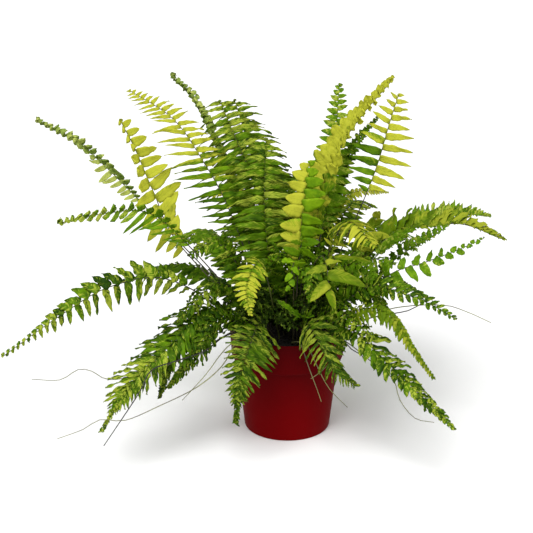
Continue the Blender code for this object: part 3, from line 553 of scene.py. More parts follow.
def leaf_finish(name, deep, fresh, yellow, through, contrast):
    """A streaked leaf. Each noise is read at a place that the leaflet's own number moves."""
    leaf = Finish(name)
    along, across, _ = leaf.parts(leaf.uv("leaf"))
    number, gold, _ = leaf.parts(leaf.uv("kind"))
    length, height, _ = leaf.parts(leaf.uv("size"))
    aside = across * 2 - 1
    vein = along - aside.size() * VEIN_SLANT
    streak = leaf.noise(leaf.vector(vein * length * STREAKS, aside * 0.6, number * 40), 1.6, 3.0, 0.6)
    patch = leaf.noise(leaf.vector(along * length * 2, aside, number * 70 + 9), 1.3, 1.0)
    half = aside * (number * 2 - 1) * HALF_SWING
    splash = (streak - 0.5) * contrast + (patch - 0.5) * 0.3 * contrast
    yellowed = (splash + gold * GOLD_PULL + half - GREEN_START).held()
    tone = leaf.noise(leaf.vector(along * 2, aside * 0.6, number * 55), 1.5, 2.0)
    fresher = (tone * 2.4 + number * 0.6 - 1.25 + height * 0.3).held()
    colour = leaf.mix(leaf.mix(deep, fresh, fresher), yellow, yellowed)
    # Painted shade: each leaflet is darkened along its midrib, in the crease where its halves fold up.
    middle = (1 - aside.size() * MIDRIB_FINENESS).held() * MIDRIB_SHADE_SHARE
    colour = leaf.mix(colour, darker(fresh, MIDRIB_SHADE_LIGHT), middle)
    # Painted shade: each leaflet is darkened at its foot, where it meets the rib.
    foot = (1 - along * FOOT_FINENESS).held() * FOOT_SHADE_SHARE
    colour = leaf.mix(colour, darker(deep, FOOT_SHADE_LIGHT), foot)
    ribs = (vein * VEINS).wave() * 0.5 + 0.5
    skin = leaf.noise(leaf.vector(along * 8, aside * 3, number * 30), 2.0)
    sheen = leaf.noise(leaf.vector(along * 6, aside * 2, number * 20), 2.0) * 0.2 + 0.4
    leaf.surface(Base_Color=colour, Roughness=sheen, Specular_IOR_Level=LEAF_GLINT,
                 Normal=leaf.bump(ribs * 0.5 + skin * 0.7 - middle, RELIEF, 0.6))
    lit = leaf.node("ShaderNodeBsdfTranslucent", {}, {"Color": through})
    both = leaf.node("ShaderNodeMixShader", {}, {0: THROUGH, 1: Wire(leaf, leaf.shader.outputs[0]), 2: lit})
    leaf.join(both, leaf.output.inputs["Surface"])
    return leaf.material


# A dark green, a fresh green, a yellow, the colour against the light, and how sharp the streaks are.
LEAF_TONES = {
    "green": ((0.018, 0.058, 0.001), (0.15, 0.31, 0.003), (0.46, 0.55, 0.05), (0.11, 0.22, 0.002), 9.0),
    "fresh": ((0.085, 0.2, 0.003), (0.22, 0.42, 0.008), (0.55, 0.62, 0.08), (0.18, 0.34, 0.004), 8.0),
    "lime": ((0.045, 0.13, 0.002), (0.19, 0.36, 0.005), (0.58, 0.6, 0.045), (0.42, 0.46, 0.015), 4.0),
    "olive": ((0.085, 0.16, 0.003), (0.17, 0.28, 0.005), (0.4, 0.45, 0.03), (0.24, 0.32, 0.008), 3.0),
    # Painted shade: the next row is a darker copy of the green, for the low fronds that hang in the shade
    # of the others.
    "dusk": ((0.014, 0.045, 0.001), (0.1, 0.21, 0.002), (0.34, 0.42, 0.035), (0.08, 0.16, 0.002), 9.0),
    "pale": ((0.15, 0.24, 0.03), (0.36, 0.48, 0.09), (0.6, 0.66, 0.16), (0.34, 0.46, 0.07), 6.0),
    "bright": ((0.11, 0.25, 0.003), (0.27, 0.48, 0.008), (0.58, 0.6, 0.045), (0.42, 0.46, 0.015), 4.0),
    # Painted shade: the next row is an even darker copy of the greens, for the young fronds deep in the
    # crown.
    "shade": ((0.008, 0.02, 0.001), (0.035, 0.075, 0.002), (0.2, 0.3, 0.03), (0.03, 0.06, 0.001), 9.0),
}
LEAF = {name: leaf_finish("leaf " + name, *tones) for name, tones in LEAF_TONES.items()}
print("leaf materials:", len(LEAF))

# %% [markdown]
# ## Rib, runner, peat and pot
# The ribs are thin and mottled from nearly black to brown, and olive in a few fronds. Runners go from
# brown to olive. Peat is dark, dull and crumbly, and the pot is moulded plastic in a deep red, whose
# gloss is broken by fine scuffs and a little dust. Images of such surfaces would have to be wrapped
# round each piece, but noise that is read at a place on the piece needs no wrapping.

# %% The other materials
STEM_RELIEF = 0.2 * MM
PEAT_RELIEF = 1.6 * MM
POT_RELIEF = 0.08 * MM
POT_GLINT = 0.02
POT_SHADING = 7.2
DUST_SHARE = 0.05


def stalk_finish(name, dark, light, scale):
    """A mottled stem between two colours."""
    stalk = Finish(name)
    place = stalk.place()
    mottle = stalk.noise(place, scale, 3.0)
    fine = stalk.noise(place, scale * 9, 2.0)
    colour = stalk.mix(dark, light, ((mottle - 0.35) * 2.6).held())
    normal = stalk.bump(fine, STEM_RELIEF, 0.5)
    return stalk.surface(Base_Color=colour, Roughness=fine * 0.3 + 0.4, Normal=normal)


def peat_finish():
    """Dark clods with a few paler fibres, the peat's brown made darker still as painted shade."""
    peat = Finish("peat")
    place = peat.place()
    clod = peat.noise(place, 160, 5.0, 0.65)
    grain = peat.noise(place, 900, 3.0, 0.7)
    fibre = peat.noise(place, 420, 2.0, 0.5, 2.5)
    # Painted shade: the peat's own dark brown is made darker still, for the deep shade under the crown.
    colour = peat.mix((0.003, 0.002, 0.001), (0.014, 0.010, 0.006), (clod * 1.7 - 0.4).held())
    colour = peat.mix(colour, (0.05, 0.032, 0.018), ((fibre - 0.64) * 9).held() * 0.4)
    normal = peat.bump(clod + grain * 0.4, PEAT_RELIEF)
    return peat.surface(Base_Color=colour, Roughness=0.92 - grain * 0.12, Normal=normal)


def pot_finish():
    """Deep red plastic with painted shade that darkens it towards the lip, with scuffs round it and a
    little dust.
    """
    pot = Finish("pot red")
    place = pot.place()
    _, _, height = pot.parts(place)
    cloud = pot.noise(place, 11, 3.0)
    dust = pot.noise(place, 60, 4.0, 0.65)
    scuff = pot.noise(pot.node("ShaderNodeMapping", {}, {0: place, "Scale": (1, 1, 9)}), 130, 3.0, 0.7)
    grain = pot.noise(place, 1500, 2.0)
    # Painted shade: the red gets darker from the foot up towards the lip, where the fronds shade it; the
    # cloud is the plastic's own uneven tone.
    lower = (1 - height * POT_SHADING).held()
    painted_light_and_tone = (lower * 0.75 + cloud * 0.35 - 0.05).held()
    colour = pot.mix((0.028, 0.0001, 0.0008), (0.16, 0.0004, 0.0012), painted_light_and_tone)
    colour = pot.mix(colour, (0.12, 0.05, 0.035), ((dust - 0.62) * 5).held() * DUST_SHARE)
    rough = 0.44 + cloud * 0.14 + (scuff - 0.5).size() * 0.25
    normal = pot.bump(grain * 0.25 + scuff * 0.35, POT_RELIEF)
    return pot.surface(Base_Color=colour, Roughness=rough, Specular_IOR_Level=POT_GLINT, Normal=normal)


RIB = stalk_finish("rib", (0.012, 0.010, 0.005), (0.07, 0.06, 0.018), 60)
STALK = stalk_finish("young rib", (0.03, 0.035, 0.008), (0.13, 0.15, 0.02), 50)
RUNNER_DARK = stalk_finish("runner dark", (0.005, 0.004, 0.003), (0.022, 0.018, 0.010), 40)
RUNNER_OLIVE = stalk_finish("runner olive", (0.07, 0.065, 0.025), (0.24, 0.25, 0.07), 30)
PEAT = peat_finish()
POT_RED = pot_finish()
print("materials:", len(bpy.data.materials))

# %% [markdown]
# ## A leaflet
# One leaflet starts as a flat grid, ten faces long and four wide. Its corners are then moved by a
# formula: a blunt foot with a small ear on the side of the frond's tip, an outline that narrows to
# its end, two halves folded up from the middle, a ruffled edge and a droop. Modelling one leaflet by
# hand and copying it would make all alike, and this way each has its own length, width and ruffle.

# %% Grow one leaflet
LEAF_STEPS = 10
LEAF_ROWS = 4
FOOT_WIDTH = 0.66
FOOT_SWELL = 1.6
SLENDER_BODY = 1.3
BLUNT_BODY = 3.6
TAILED_BODY = 0.8
SLENDER_END = 1.1
BLUNT_END = 0.75
LOBES = 3.4 * math.tau
LOBE_DEPTH = 0.5
EAR = 0.16
EAR_PLACE = 0.05
EAR_LENGTH = 0.08
FLATTENING = 0.4
EDGE_ONLY = 1.5
EDGE_DELAY = 1.9
RUFFLE_START = 4
WAVES = (1.6, 2.6)
SICKLE = (0.0, 0.14)
DROOP_SPREAD = (-0.05, 0.08)
TWIST = 0.7
LEAST_ROLL = 0.01
LONG_LEAFLET = 40
HEIGHT_SCALE = 2.5

Blade = namedtuple("Blade", "root reach across face tipward length width roll")


def half_width(share, blunt):
    """A leaflet's half width at a share of its length, where 1 is its widest."""
    swell = min(1.0, FOOT_WIDTH + FOOT_SWELL * share)
    body = SLENDER_BODY + (BLUNT_BODY * blunt if blunt > 0 else -TAILED_BODY * blunt)
    return swell * (1 - share ** body) ** (SLENDER_END - BLUNT_END * blunt)


def bent(blade, share):
    """The point at a share of a leaflet's length, with its reach and face there, as it rolls up."""
    turn = blade.roll * share
    reach = blade.reach * math.cos(turn) + blade.face * math.sin(turn)
    face = blade.face * math.cos(turn) - blade.reach * math.sin(turn)
    if abs(blade.roll) < LEAST_ROLL:
        return blade.root + blade.reach * (blade.length * share), reach, face
    arc = blade.reach * math.sin(turn) + blade.face * (1 - math.cos(turn))
    return blade.root + arc * (blade.length / blade.roll), reach, face


def grow_leaflet(bm, maps, blade, habit, values, draw):
    """Adds one leaflet to a mesh that has the three maps, bent and ruffled in its own way."""
    made = bmesh.ops.create_grid(bm, x_segments=LEAF_STEPS, y_segments=LEAF_ROWS, size=1)["verts"]
    fold = math.tan(math.radians(habit.fold))
    phase = draw.uniform(0, math.tau)
    waves = draw.uniform(*WAVES) * math.tau
    sickle = draw.uniform(*SICKLE) * blade.tipward
    droop = habit.droop + draw.uniform(*DROOP_SPREAD)
    twist = draw.uniform(-TWIST, TWIST)
    for vert in made:
        share = (vert.co.x + 1) / 2
        aside = vert.co.y
        lobed = 1 + LOBE_DEPTH * habit.ruffle * math.sin(LOBES * share + phase * (2 + aside))
        across = aside * blade.width / 2 * half_width(share, habit.blunt) * lobed
        if aside * blade.tipward > 0:
            across += aside * EAR * blade.width * math.exp(-((share - EAR_PLACE) / EAR_LENGTH) ** 2)
        rise = abs(across) * fold * (1 - FLATTENING * share)
        ruffle = habit.ruffle * blade.width * abs(aside) ** EDGE_ONLY * min(1, RUFFLE_START * share)
        rise += ruffle * math.sin(waves * share + phase + EDGE_DELAY * aside)
        centre, _, face = bent(blade, share)
        turn = twist * share
        sideways = blade.across * math.cos(turn) + face * math.sin(turn)
        upwards = face * math.cos(turn) - blade.across * math.sin(turn)
        point = centre + sideways * (across + sickle * blade.length * share * share) + upwards * rise
        point.z -= droop * blade.length * share * share
        for loop in vert.link_loops:
            loop[maps[0]].uv = (share, (aside + 1) / 2)
            loop[maps[1]].uv = values
            loop[maps[2]].uv = (blade.length / MM / LONG_LEAFLET, blade.root.z * HEIGHT_SCALE)
        vert.co = point


print("faces in a leaflet:", LEAF_STEPS * LEAF_ROWS)

# %% [markdown]
# ## A stem
# A stem is a ring of corners that is pushed along a route, a step at a time, and narrowed on the way.
# A curve object with a bevel gives the same tube, but this one is a closed mesh at once, and each
# ring can have its own size.

# %% Draw a tapered tube
TUBE_SIDES = 6


def ring_frame(point, along, radius):
    """The matrix that lays a ring of radius 1 round a point, across a direction."""
    turn = along.to_track_quat("Z", "Y").to_matrix().to_4x4()
    return Matrix.Translation(point) @ turn @ Matrix.Scale(radius, 4)


def draw_tube(bm, points, radii):
    """Adds a closed tube through the points, with a radius at each, and gives its faces."""
    before = set(bm.faces)
    ways = [(after - here).normalized() for here, after in zip(points, points[1:])]
    ways.append(ways[-1])
    last = ring_frame(points[0], ways[0], radii[0])
    start = bmesh.ops.create_circle(bm, cap_ends=True, segments=TUBE_SIDES, radius=1, matrix=last)["verts"]
    ring = start[0].link_faces[0].edges[:]
    for point, way, radius in zip(points[1:], ways[1:], radii[1:]):
        grown = bmesh.ops.extrude_edge_only(bm, edges=ring)["geom"]
        corners = [part for part in grown if isinstance(part, bmesh.types.BMVert)]
        ring = [part for part in grown if isinstance(part, bmesh.types.BMEdge)]
        ring = [edge for edge in ring if all(vert in corners for vert in edge.verts)]
        here = ring_frame(point, way, radius)
        bmesh.ops.transform(bm, verts=corners, matrix=here @ last.inverted())
        last = here
    bmesh.ops.contextual_create(bm, geom=ring)
    return [face for face in bm.faces if face not in before]


def add_piece(name, bm, materials, replaced=None, flat=False):
    """Makes an object of a mesh, rides it on the plant and lets it stand for its solid."""
    mesh = bpy.data.meshes.new(name)
    bm.to_mesh(mesh)
    bm.free()
    for material in materials:
        mesh.materials.append(material)
    if not flat:
        mesh.shade_smooth()
    piece = bpy.data.objects.new(name, mesh)
    bpy.context.collection.objects.link(piece)
    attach(piece, "root")
    if replaced:
        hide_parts(replaced)
    return piece


print("tube sides:", TUBE_SIDES)

# %% [markdown]
# ## A frond
# A frond is its rib with leaflets on both sides by turns. They are longest a little above the bare
# stalk, get shorter and closer towards the tip, and lean forward more and more. The last bit of the
# rib rolls up in a small curl, as new growth does. Copies of one leaflet could be scattered along the
# rib, but then none would have its own bend. The leaflets are sheets at first, and get their
# thickness all together, so that both faces match.

# %% Grow a frond
LEAF_THICKNESS = 0.35 * MM
RIB_RADIUS = 0.95 * MM
RIB_TIP_RADIUS = 0.4 * MM
RIB_NARROWING = 0.8
RIB_STEPS = 34
LOWEST = 0.45
LONGEST_AT = 0.28
TIP_ROUNDING = 0.8
SMALLEST = 0.13
CLOSEST = 0.42
BEND_START = 0.2
BEND_SPAN = 0.5
SMALL_LEAN = 20
LEAN_SPREAD = 7
LIFT_SPREAD = 9
TILT_SPREAD = 9
ROLL_SPREAD = 12
SIZES = (0.86, 1.12)
THINNEST = 0.34
THICKENING = 0.72
THICKEST = 1.05
MIXED_GOLD = (0.15, 0.7)
MIXED_SPREAD = 0.3
PLAIN_SPREAD = 0.12
CURL_LEAFLET = 1.35 * MM
CURL_LEAFLET_ROLL = math.radians(70)
PALE_STALKS = ("young", "standing", "beaded")
LIME_LEAVES = ("lime", "bright", "olive")


def leaflet_size(share, habit):
    """A leaflet's length as a share of the longest, by its place from the lowest to the tip."""
    rising = LOWEST + (1 - LOWEST) * min(1, share / LONGEST_AT)
    leafy = min(1, share / habit.tail)
    return max(SMALLEST, rising * (1 - leafy ** habit.taper) ** TIP_ROUNDING)


def between(low, top, share):
    """A value that changes softly from the foot of a frond to its tip."""
    part = min(1, max(0, (share - BEND_START) / BEND_SPAN))
    return low + (top - low) * part * part * (3 - 2 * part)


def leaflet_blade(side, habit, station, hand, share, draw):
    """Where a leaflet starts, which way it reaches, its face, its size and how far it rolls up."""
    point, along, out, up = station
    size = leaflet_size(share, habit)
    lift = math.radians(side.lift + draw.uniform(-LIFT_SPREAD, LIFT_SPREAD))
    lean = between(side.lean_low, side.lean_top, share) - SMALL_LEAN * (1 - size)
    lean = math.radians(lean + draw.uniform(-LEAN_SPREAD, LEAN_SPREAD))
    out = out * (hand * math.cos(lift)) + up * math.sin(lift)
    reach = along * math.cos(lean) + out * math.sin(lean)
    face = (out.cross(along) * -hand).normalized()
    tilt = math.radians(habit.shingle + draw.uniform(-TILT_SPREAD, TILT_SPREAD))
    across = face.cross(reach)
    tipward = 1 if across.dot(along) > 0 else -1
    across, face = (across * math.cos(tilt) + face * (math.sin(tilt) * tipward),
                    face * math.cos(tilt) - across * (math.sin(tilt) * tipward))
    length = side.length * MM * size * draw.uniform(*SIZES)
    width = side.wide * MM * min(THICKEST, THINNEST + THICKENING * size) * draw.uniform(*SIZES)
    roll = between(side.roll_low, side.roll_top, share) + draw.uniform(-ROLL_SPREAD, ROLL_SPREAD)
    root = point + up * (RIB_TIP_RADIUS / 2)
    return Blade(root, reach, across, face, tipward, length, width, math.radians(roll))


def leaflet_gold(side, share, draw):
    """How yellow a leaflet is, between its side's values at the foot and at the tip."""
    gold = between(side.gold_low, side.gold_top, share)
    spread = MIXED_SPREAD if MIXED_GOLD[0] < gold < MIXED_GOLD[1] else PLAIN_SPREAD
    return min(1, max(0, gold + draw.uniform(-spread, spread)))


def grow_leaflets(bm, frond, rib, draw):
    """All the leaflets of a frond, on its left and right by turns."""
    habit = HABITS[frond.habit]
    maps = [bm.loops.layers.uv.new(name) for name in ("leaf", "kind", "size")]
    sides = (frond.left, frond.right or frond.left)
    grown = 0
    share = 0.0
    while share < 1:
        side = sides[grown % 2]
        hand = 1 if grown % 2 == 0 else -1
        along_rib = frond.bare + (1 - frond.bare) * share
        blade = leaflet_blade(side, habit, rib.at(along_rib), hand, share, draw)
        if along_rib > rib.curl_start:
            size = habit.curl * CURL_LEAFLET
            blade = blade._replace(length=size, width=size, roll=CURL_LEAFLET_ROLL)
        grow_leaflet(bm, maps, blade, habit, (draw.random(), leaflet_gold(side, share, draw)), draw)
        grown += 1
        step = habit.spacing * MM * (CLOSEST + (1 - CLOSEST) * leaflet_size(share, habit)) / 2
        share += step / (rib.length * (1 - frond.bare))
    bmesh.ops.solidify(bm, geom=bm.faces[:], thickness=-LEAF_THICKNESS)
    return grown


def grow_frond(frond, place, solid=None):
    """One frond on its rib, with all its leaflets, that stands for a solid or for none."""
    rib = Rib(frond, place, HABITS[frond.habit].curl * MM)
    bm = bmesh.new()
    grown = grow_leaflets(bm, frond, rib, random.Random(frond.name))
    shares = [i / RIB_STEPS for i in range(RIB_STEPS + 1)]
    points = [stem_foot(place)] + [rib.at(share)[0] for share in shares]
    radii = [RIB_RADIUS + (RIB_TIP_RADIUS - RIB_RADIUS) * share ** RIB_NARROWING for share in shares]
    for face in draw_tube(bm, points, [RIB_RADIUS] + radii):
        face.material_index = 1
    finish = STALK if frond.habit in PALE_STALKS else RIB
    slot = "lime" if frond.colour in LIME_LEAVES else "green"
    add_piece("leaves_" + frond.name, bm, (LEAF[frond.colour], finish), solid)
    return grown


leaflets = [grow_frond(frond, place, "frond_" + frond.name) for frond, place in zip(FRONDS, PLACES)]
print("leaflets:", sum(leaflets), "most on a frond:", max(leaflets))

# %% [markdown]
# ## Young fronds in the crown
# Between the big stalks the crown is full of short young fronds, which keep the pot's inside in the
# dark. Nobody could tell most of them apart, so a rule turns them round the crown by the golden angle
# and a seeded random draw bends each one. Those whose leaves stand out are listed one by one. They stand
# for no solid, and only ride on the plant.

# %% Fill the crown
YOUNG_FRONDS = 16
GOLDEN_ANGLE = 2.39996
YOUNG_FEET = (6, 24)
YOUNG_REACHES = (34, 52)
YOUNG_TOPS = (140, 176)
YOUNG_FALLS = (2, 22)
YOUNG_LENGTHS = (20, 30)
YOUNG_WIDTHS = (9, 11)
KNEE_REACH = 6
KNEE_HEIGHT = 36
KNEE_RISE = 0.7
TIP_REACH = 20


def young_frond(number, draw):
    """A short frond that arches out of the crown, and the place of its stem."""
    angle = number * GOLDEN_ANGLE
    foot = draw.uniform(*YOUNG_FEET)
    reach = draw.uniform(*YOUNG_REACHES)
    top = draw.uniform(*YOUNG_TOPS)
    way = Vector((math.cos(angle), math.sin(angle)))
    stops = ((foot + KNEE_REACH, KNEE_RISE * top + KNEE_HEIGHT), (reach, top),
             (reach + TIP_REACH, top - draw.uniform(*YOUNG_FALLS)))
    route = [(way.x * out, way.y * out, height) for out, height in stops]
    side = Side(draw.uniform(*YOUNG_LENGTHS), draw.uniform(*YOUNG_WIDTHS), 72, 60, -10, -20, 10, 0.0, 0.1)
    # Painted shade: the young fronds take the darkest leaf colour, for the deep crown.
    frond = Frond("young_%02d" % number, route, (0, -0.5, 1), "shade", "curly", 0.12, side)
    return frond, way * (foot * MM)


PLACED_YOUNG = listed((
    ("young_curled", ((6, -30, 165), (6, -50, 214), (4, -66, 212), (0, -76, 192)), (0, -1, 0.4),
     "bright", "leafy", 0.6, (20, 10, 60, 50, 0, 0, 20, 0, 0.1), (22, 10, 70, 50, 0, 0, 20, 0, 0.1)),
    ("young_broad", ((10, -22, 175), (13, -36, 222), (14, -44, 240)), (0, -1, 0.4), "bright", "leafy",
     0.66, (24, 12, 84, 84, 0, 0, 0, 0, 0.1), (30, 11, 146, 130, 0, 0, 0, 0, 0.1)),
    ("young_inner_right", ((20, 12, 170), (30, -4, 206), (42, -26, 200)), (0, -0.8, 0.8), "green",
     "curly", 0.3, (30, 11, 70, 60, -10, -10, 10, 0, 0.1)),
    ("young_inner_left", ((-2, 4, 170), (-6, -12, 210), (-12, -34, 210)), (0, -0.8, 0.8), "green",
     "curly", 0.3, (32, 12, 80, 60, -10, 0, 10, 0, 0.1)),
    ("young_inner_far", ((42, 4, 164), (58, -14, 194), (66, -36, 184)), (0, -0.8, 0.8), "green", "curly",
     0.3, (28, 11, 70, 60, -10, -10, 10, 0, 0.1)),
    ("young_inner_front", ((14, -16, 170), (22, -36, 208), (24, -56, 202), (24, -64, 176)),
     (0, -0.8, 0.8), "green", "curly", 0.4, (24, 10, 76, 60, -10, -10, 10, 0, 0.1)),
    ("young_right_low", ((30, -10, 160), (60, -24, 182), (86, -40, 178), (104, -50, 160)),
     (0, -0.8, 0.8), "green", "curly", 0.3, (30, 11, 72, 60, -10, -10, 10, 0, 0.1)),
    ("young_right_high", ((44, -20, 176), (66, -36, 206), (84, -50, 204), (94, -58, 190)),
     (0, -0.8, 0.8), "fresh", "curly", 0.35, (28, 10, 72, 60, -10, -10, 10, 0, 0.1)),
    ("young_star", ((32, -26, 186), (44, -54, 220), (48, -72, 224), (50, -86, 220)), (0, -1, 0.6),
     "olive", "star", 0.8, (36, 12, 100, 60, -5, -10, 10, 0.2, 0.4), (10, 6, 90, 60, 0, 0, 0, 0.2, 0.4)),
    ("young_right_rim", ((30, -30, 142), (44, -56, 158), (54, -70, 146), (56, -76, 122)), (0, -0.8, 0.8),
     "green", "curly", 0.3, (22, 9, 72, 60, -10, -10, 10, 0, 0.1)),
    ("young_right_broad", ((58, -6, 186), (82, -8, 222), (94, -10, 248), (98, -12, 256)), (0, -1, 0.4),
     "olive", "star", 0.66, (28, 11, 50, 20, 0, 20, 60, 0.3, 0.6)),
))
young_draw = random.Random("young fronds")
for number in range(1, YOUNG_FRONDS + 1):
    grow_frond(*young_frond(number, young_draw))
for young in PLACED_YOUNG:
    grow_frond(young, Vector(young.route[0][:2]) * MM)
print("young fronds:", YOUNG_FRONDS + len(PLACED_YOUNG))

# %% [markdown]
# ## The runners
# Runners are bare and get thin towards their tips, and some are dark and stout and some pale. The same
# tube draws them, thinner than their solids, which had to be thick enough to build.

# %% Draw the runners
RUNNER_STEP = 8 * MM
RUNNER_RADIUS = 0.75 * MM
RUNNER_TIP = 0.35 * MM
STOUT = 1.35
DARK_RUNNERS = ("left_dark", "right_dark", "right_twig")

for (name, points), place in zip(RUNNERS.items(), PLACES[len(FRONDS):]):
    route = [stem_foot(place)] + stem_route(points, place, RUNNER_STEP)
    stout = STOUT if name in DARK_RUNNERS else 1
    count = len(route)
    radii = [stout * (RUNNER_RADIUS + (RUNNER_TIP - RUNNER_RADIUS) * i / count) for i in range(count)]
    bm = bmesh.new()
    draw_tube(bm, route, radii)
    finish = RUNNER_DARK if name in DARK_RUNNERS else RUNNER_OLIVE
    add_piece("stem_" + name, bm, (finish,), "runner_" + name)
print("runners drawn:", len(RUNNERS))

# %% [markdown]
# ## The soil
# The top of the peat is a disc that is divided finely and pushed up and down by waves and by chance,
# with loose crumbs on it. A material can push a surface too, but only in a render, so the corners
# are moved here.

# %% Model the peat
SOIL_SIDES = 96
SOIL_RINGS = 26
SOIL_DROP = 1.0 * MM
SOIL_ROOM = 2 * MM
LUMP_SCALE = 130
LUMP_HEIGHT = 0.5
CRUMBS = 260
CRUMB_SIZES = (0.8, 2.4)
CRUMB_SINK = 0.6 * MM
CRUMB_SPREAD = 0.95
CRUMB_ROUGHNESS = 0.3
MERGE_DISTANCE = 0.01 * MM


def turned(profile, sides):
    """A closed body turned round Z from (radius, height) corners that start and end on the axis."""
    bm = bmesh.new()
    corners = [bm.verts.new((radius, 0, height)) for radius, height in profile]
    edges = [bm.edges.new(pair) for pair in zip(corners, corners[1:])]
    bmesh.ops.spin(bm, geom=corners + edges, cent=(0, 0, 0), axis=(0, 0, 1), angle=math.tau, steps=sides,
                   use_merge=True)
    bmesh.ops.remove_doubles(bm, verts=bm.verts, dist=MERGE_DISTANCE)
    bmesh.ops.recalc_face_normals(bm, faces=bm.faces)
    return bm


def lumpy(x, y):
    """An uneven height between -1 and 1, from waves that cross each other."""
    return math.sin(x * 1.7 + 2 * math.sin(y * 1.3)) * math.sin(y * 2.1 + x)


def peat():
    """The soil body, with a lumpy top and loose crumbs."""
    draw = random.Random("peat")
    floor = (POT_BASE_RADIUS - POT_WALL - GAP, POT_FLOOR + GAP)
    wall_top = (POT_WALL_TOP_RADIUS - POT_WALL - GAP, POT_BAND_BOTTOM + POT_WALL + GAP)
    band = (POT_BAND_RADIUS - POT_WALL - GAP, POT_BAND_BOTTOM + POT_WALL + POT_BAND_SLANT + GAP)
    profile = [(0, floor[1]), floor, wall_top, band]
    for ring in range(SOIL_RINGS):
        radius = soil_edge_radius() * (1 - ring / SOIL_RINGS)
        profile.append((radius, soil_height(radius, 0) - SOIL_DROP))
    profile.append((0, soil_height(0, 0) - SOIL_DROP))
    bm = turned(profile, SOIL_SIDES)
    for vert in bm.verts:
        if vert.co.z > SOIL_EDGE_HEIGHT - SOIL_ROOM:
            lumps = LUMP_HEIGHT * lumpy(*(vert.co.xy * LUMP_SCALE))
            vert.co.z += MM * (lumps + draw.uniform(-LUMP_HEIGHT, LUMP_HEIGHT))
    for _ in range(CRUMBS):
        angle = draw.uniform(0, math.tau)
        radius = soil_edge_radius() * CRUMB_SPREAD * math.sqrt(draw.random())
        x, y = radius * math.cos(angle), radius * math.sin(angle)
        middle = Matrix.Translation((x, y, soil_height(x, y) - CRUMB_SINK))
        size = draw.uniform(*CRUMB_SIZES) * MM
        crumb = bmesh.ops.create_icosphere(bm, subdivisions=1, radius=size, matrix=middle)["verts"]
        for vert in crumb:
            vert.co += Vector([draw.uniform(-CRUMB_ROUGHNESS, CRUMB_ROUGHNESS) * size for _ in range(3)])
    return bm


soil = add_piece("peat_top", peat(), (PEAT,), "soil", flat=True)
print("soil faces:", len(soil.data.polygons))

# %% [markdown]
# ## The pot
# A nursery pot is moulded in one piece: a thin tapered wall, a wider band under a rolled lip, and a
# floor with drain holes. A cylinder could be inset and extruded, but a profile turned round the axis
# shows every measure at once. It gives all but the holes, which a Boolean cuts with a drill that is
# then removed.

# %% Turn the pot
POT_SIDES = 128
DRAIN_HOLES = 6
DRAIN_RADIUS = 5 * MM
DRAIN_RING_RADIUS = 31 * MM
DRAIN_SIDES = 24
DRILL_LENGTH = 6 * MM
SHARP_EDGE = math.radians(40)

# The radius and height of each corner of the pot's wall, in mm, from the middle of its underside up
# the outer side to the lip, and down the inner side to the middle of its floor.
POT_PROFILE = (
    (0, 0.9), (40.5, 0.9), (42.5, 0), (47.0, 0), (48.1, 0.5), (48.5, 1.6), (52.0, 32), (55.2, 59),
    (58.1, 83.5), (58.6, 85.6), (59.6, 86.2), (61.9, 86.3), (62.5, 86.9), (62.75, 88.6), (64.1, 108),
    (64.9, 118.2), (65.4, 119.8), (65.5, 121), (65.1, 121.8), (64.4, 122), (63.9, 121.4), (63.6, 119.5),
    (62.4, 108.5), (61.0, 88.7), (60.2, 87.7), (57.0, 87.5), (56.4, 85), (50.4, 34), (47.1, 3.4),
    (46.4, 2.3), (45.3, 2.0), (0, 2.0),
)


def drained(pot):
    """Cuts the drain holes in the pot's floor and leaves a plain mesh."""
    bm = bmesh.new()
    for turn in range(DRAIN_HOLES):
        angle = math.tau * (turn + 0.5) / DRAIN_HOLES
        middle = (DRAIN_RING_RADIUS * math.cos(angle), DRAIN_RING_RADIUS * math.sin(angle), POT_FLOOR / 2)
        bmesh.ops.create_cone(bm, cap_ends=True, segments=DRAIN_SIDES, radius1=DRAIN_RADIUS,
                              radius2=DRAIN_RADIUS, depth=DRILL_LENGTH, matrix=Matrix.Translation(middle))
    mesh = bpy.data.meshes.new("drill")
    bm.to_mesh(mesh)
    bm.free()
    drill = bpy.data.objects.new("drill", mesh)
    bpy.context.collection.objects.link(drill)
    holes = pot.modifiers.new("holes", "BOOLEAN")
    holes.operation = "DIFFERENCE"
    holes.solver = "EXACT"
    holes.object = drill
    cut = bpy.data.meshes.new_from_object(pot.evaluated_get(bpy.context.evaluated_depsgraph_get()))
    pot.modifiers.remove(holes)
    pot.data = cut
    cut.set_sharp_from_angle(angle=SHARP_EDGE)
    bpy.data.objects.remove(drill)


corners = [(radius * MM, height * MM) for radius, height in POT_PROFILE]
pot = add_piece("pot_red", turned(corners, POT_SIDES), (POT_RED,), "pot")
drained(pot)
print("pot faces:", len(pot.data.polygons))

# %% [markdown]
# ## Floor, light and camera
# The plant stands on a plain pale floor in soft light: a broad sun from the front and above, a weak
# lamp on the right and a white sky. Lamps alone would leave the crown black, and the sky alone would
# cast hardly any shadow. The camera looks down by 20 degrees from 1.5 m, through a lens long enough to keep
# the pot's sides nearly straight.

# %% Light the plant
CAMERA_DISTANCE = 1.5
CAMERA_DOWN = math.radians(20)
CAMERA_AIM = Vector((-0.0235, 0, 0.190))
CAMERA_LENS = 91.86
SENSOR = 36
SKY_STRENGTH = 0.62


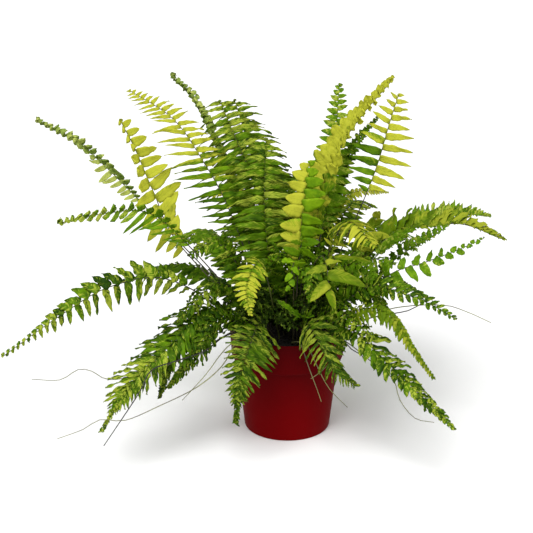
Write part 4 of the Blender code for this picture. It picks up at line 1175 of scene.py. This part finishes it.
def add_lamp(name, place, aim, size, power):
    """A round soft lamp that shines from a place to an aim."""
    light = bpy.data.lights.new(name, "AREA")
    light.shape = "DISK"
    light.size = size
    light.energy = power
    lamp = bpy.data.objects.new(name, light)
    lamp.location = place
    lamp.rotation_euler = (Vector(aim) - Vector(place)).to_track_quat("-Z", "Y").to_euler()
    bpy.context.collection.objects.link(lamp)


def add_floor():
    """A wide pale sheet of paper under the pot."""
    bm = bmesh.new()
    bmesh.ops.create_grid(bm, x_segments=1, y_segments=1, size=6)
    mesh = bpy.data.meshes.new("floor")
    bm.to_mesh(mesh)
    bm.free()
    paper = Finish("floor paper")
    mesh.materials.append(paper.surface(Base_Color=(0.9, 0.9, 0.9), Roughness=0.9))
    floor = bpy.data.objects.new("floor", mesh)
    bpy.context.collection.objects.link(floor)


def add_sun(name, turn, strength, spread):
    """A sun that is turned by three angles and is as wide as its spread, in degrees."""
    light = bpy.data.lights.new(name, "SUN")
    light.energy = strength
    light.angle = math.radians(spread)
    lamp = bpy.data.objects.new(name, light)
    lamp.rotation_euler = [math.radians(angle) for angle in turn]
    bpy.context.collection.objects.link(lamp)


add_floor()
add_sun("soft sun", (32, 0, -24), 2.6, 40)
add_lamp("side lamp", (1.5, -0.9, 1.0), (0, 0, 0.2), 1.0, 5)
world = bpy.data.worlds.new("studio")
world.use_nodes = True
sky = world.node_tree.nodes["Background"]
sky.inputs["Color"].default_value = (1, 1, 1, 1)
sky.inputs["Strength"].default_value = SKY_STRENGTH
bpy.context.scene.world = world
bpy.context.scene.view_settings.view_transform = "Standard"

lens = bpy.data.cameras.new("camera")
lens.sensor_width = SENSOR
lens.lens = CAMERA_LENS
camera = bpy.data.objects.new("camera", lens)
back = Vector((0, -math.cos(CAMERA_DOWN), math.sin(CAMERA_DOWN))) * CAMERA_DISTANCE
camera.location = CAMERA_AIM + back
camera.rotation_euler = (math.pi / 2 - CAMERA_DOWN, 0, 0)
bpy.context.collection.objects.link(camera)
bpy.context.scene.camera = camera
print("camera at", [round(value, 3) for value in camera.location])
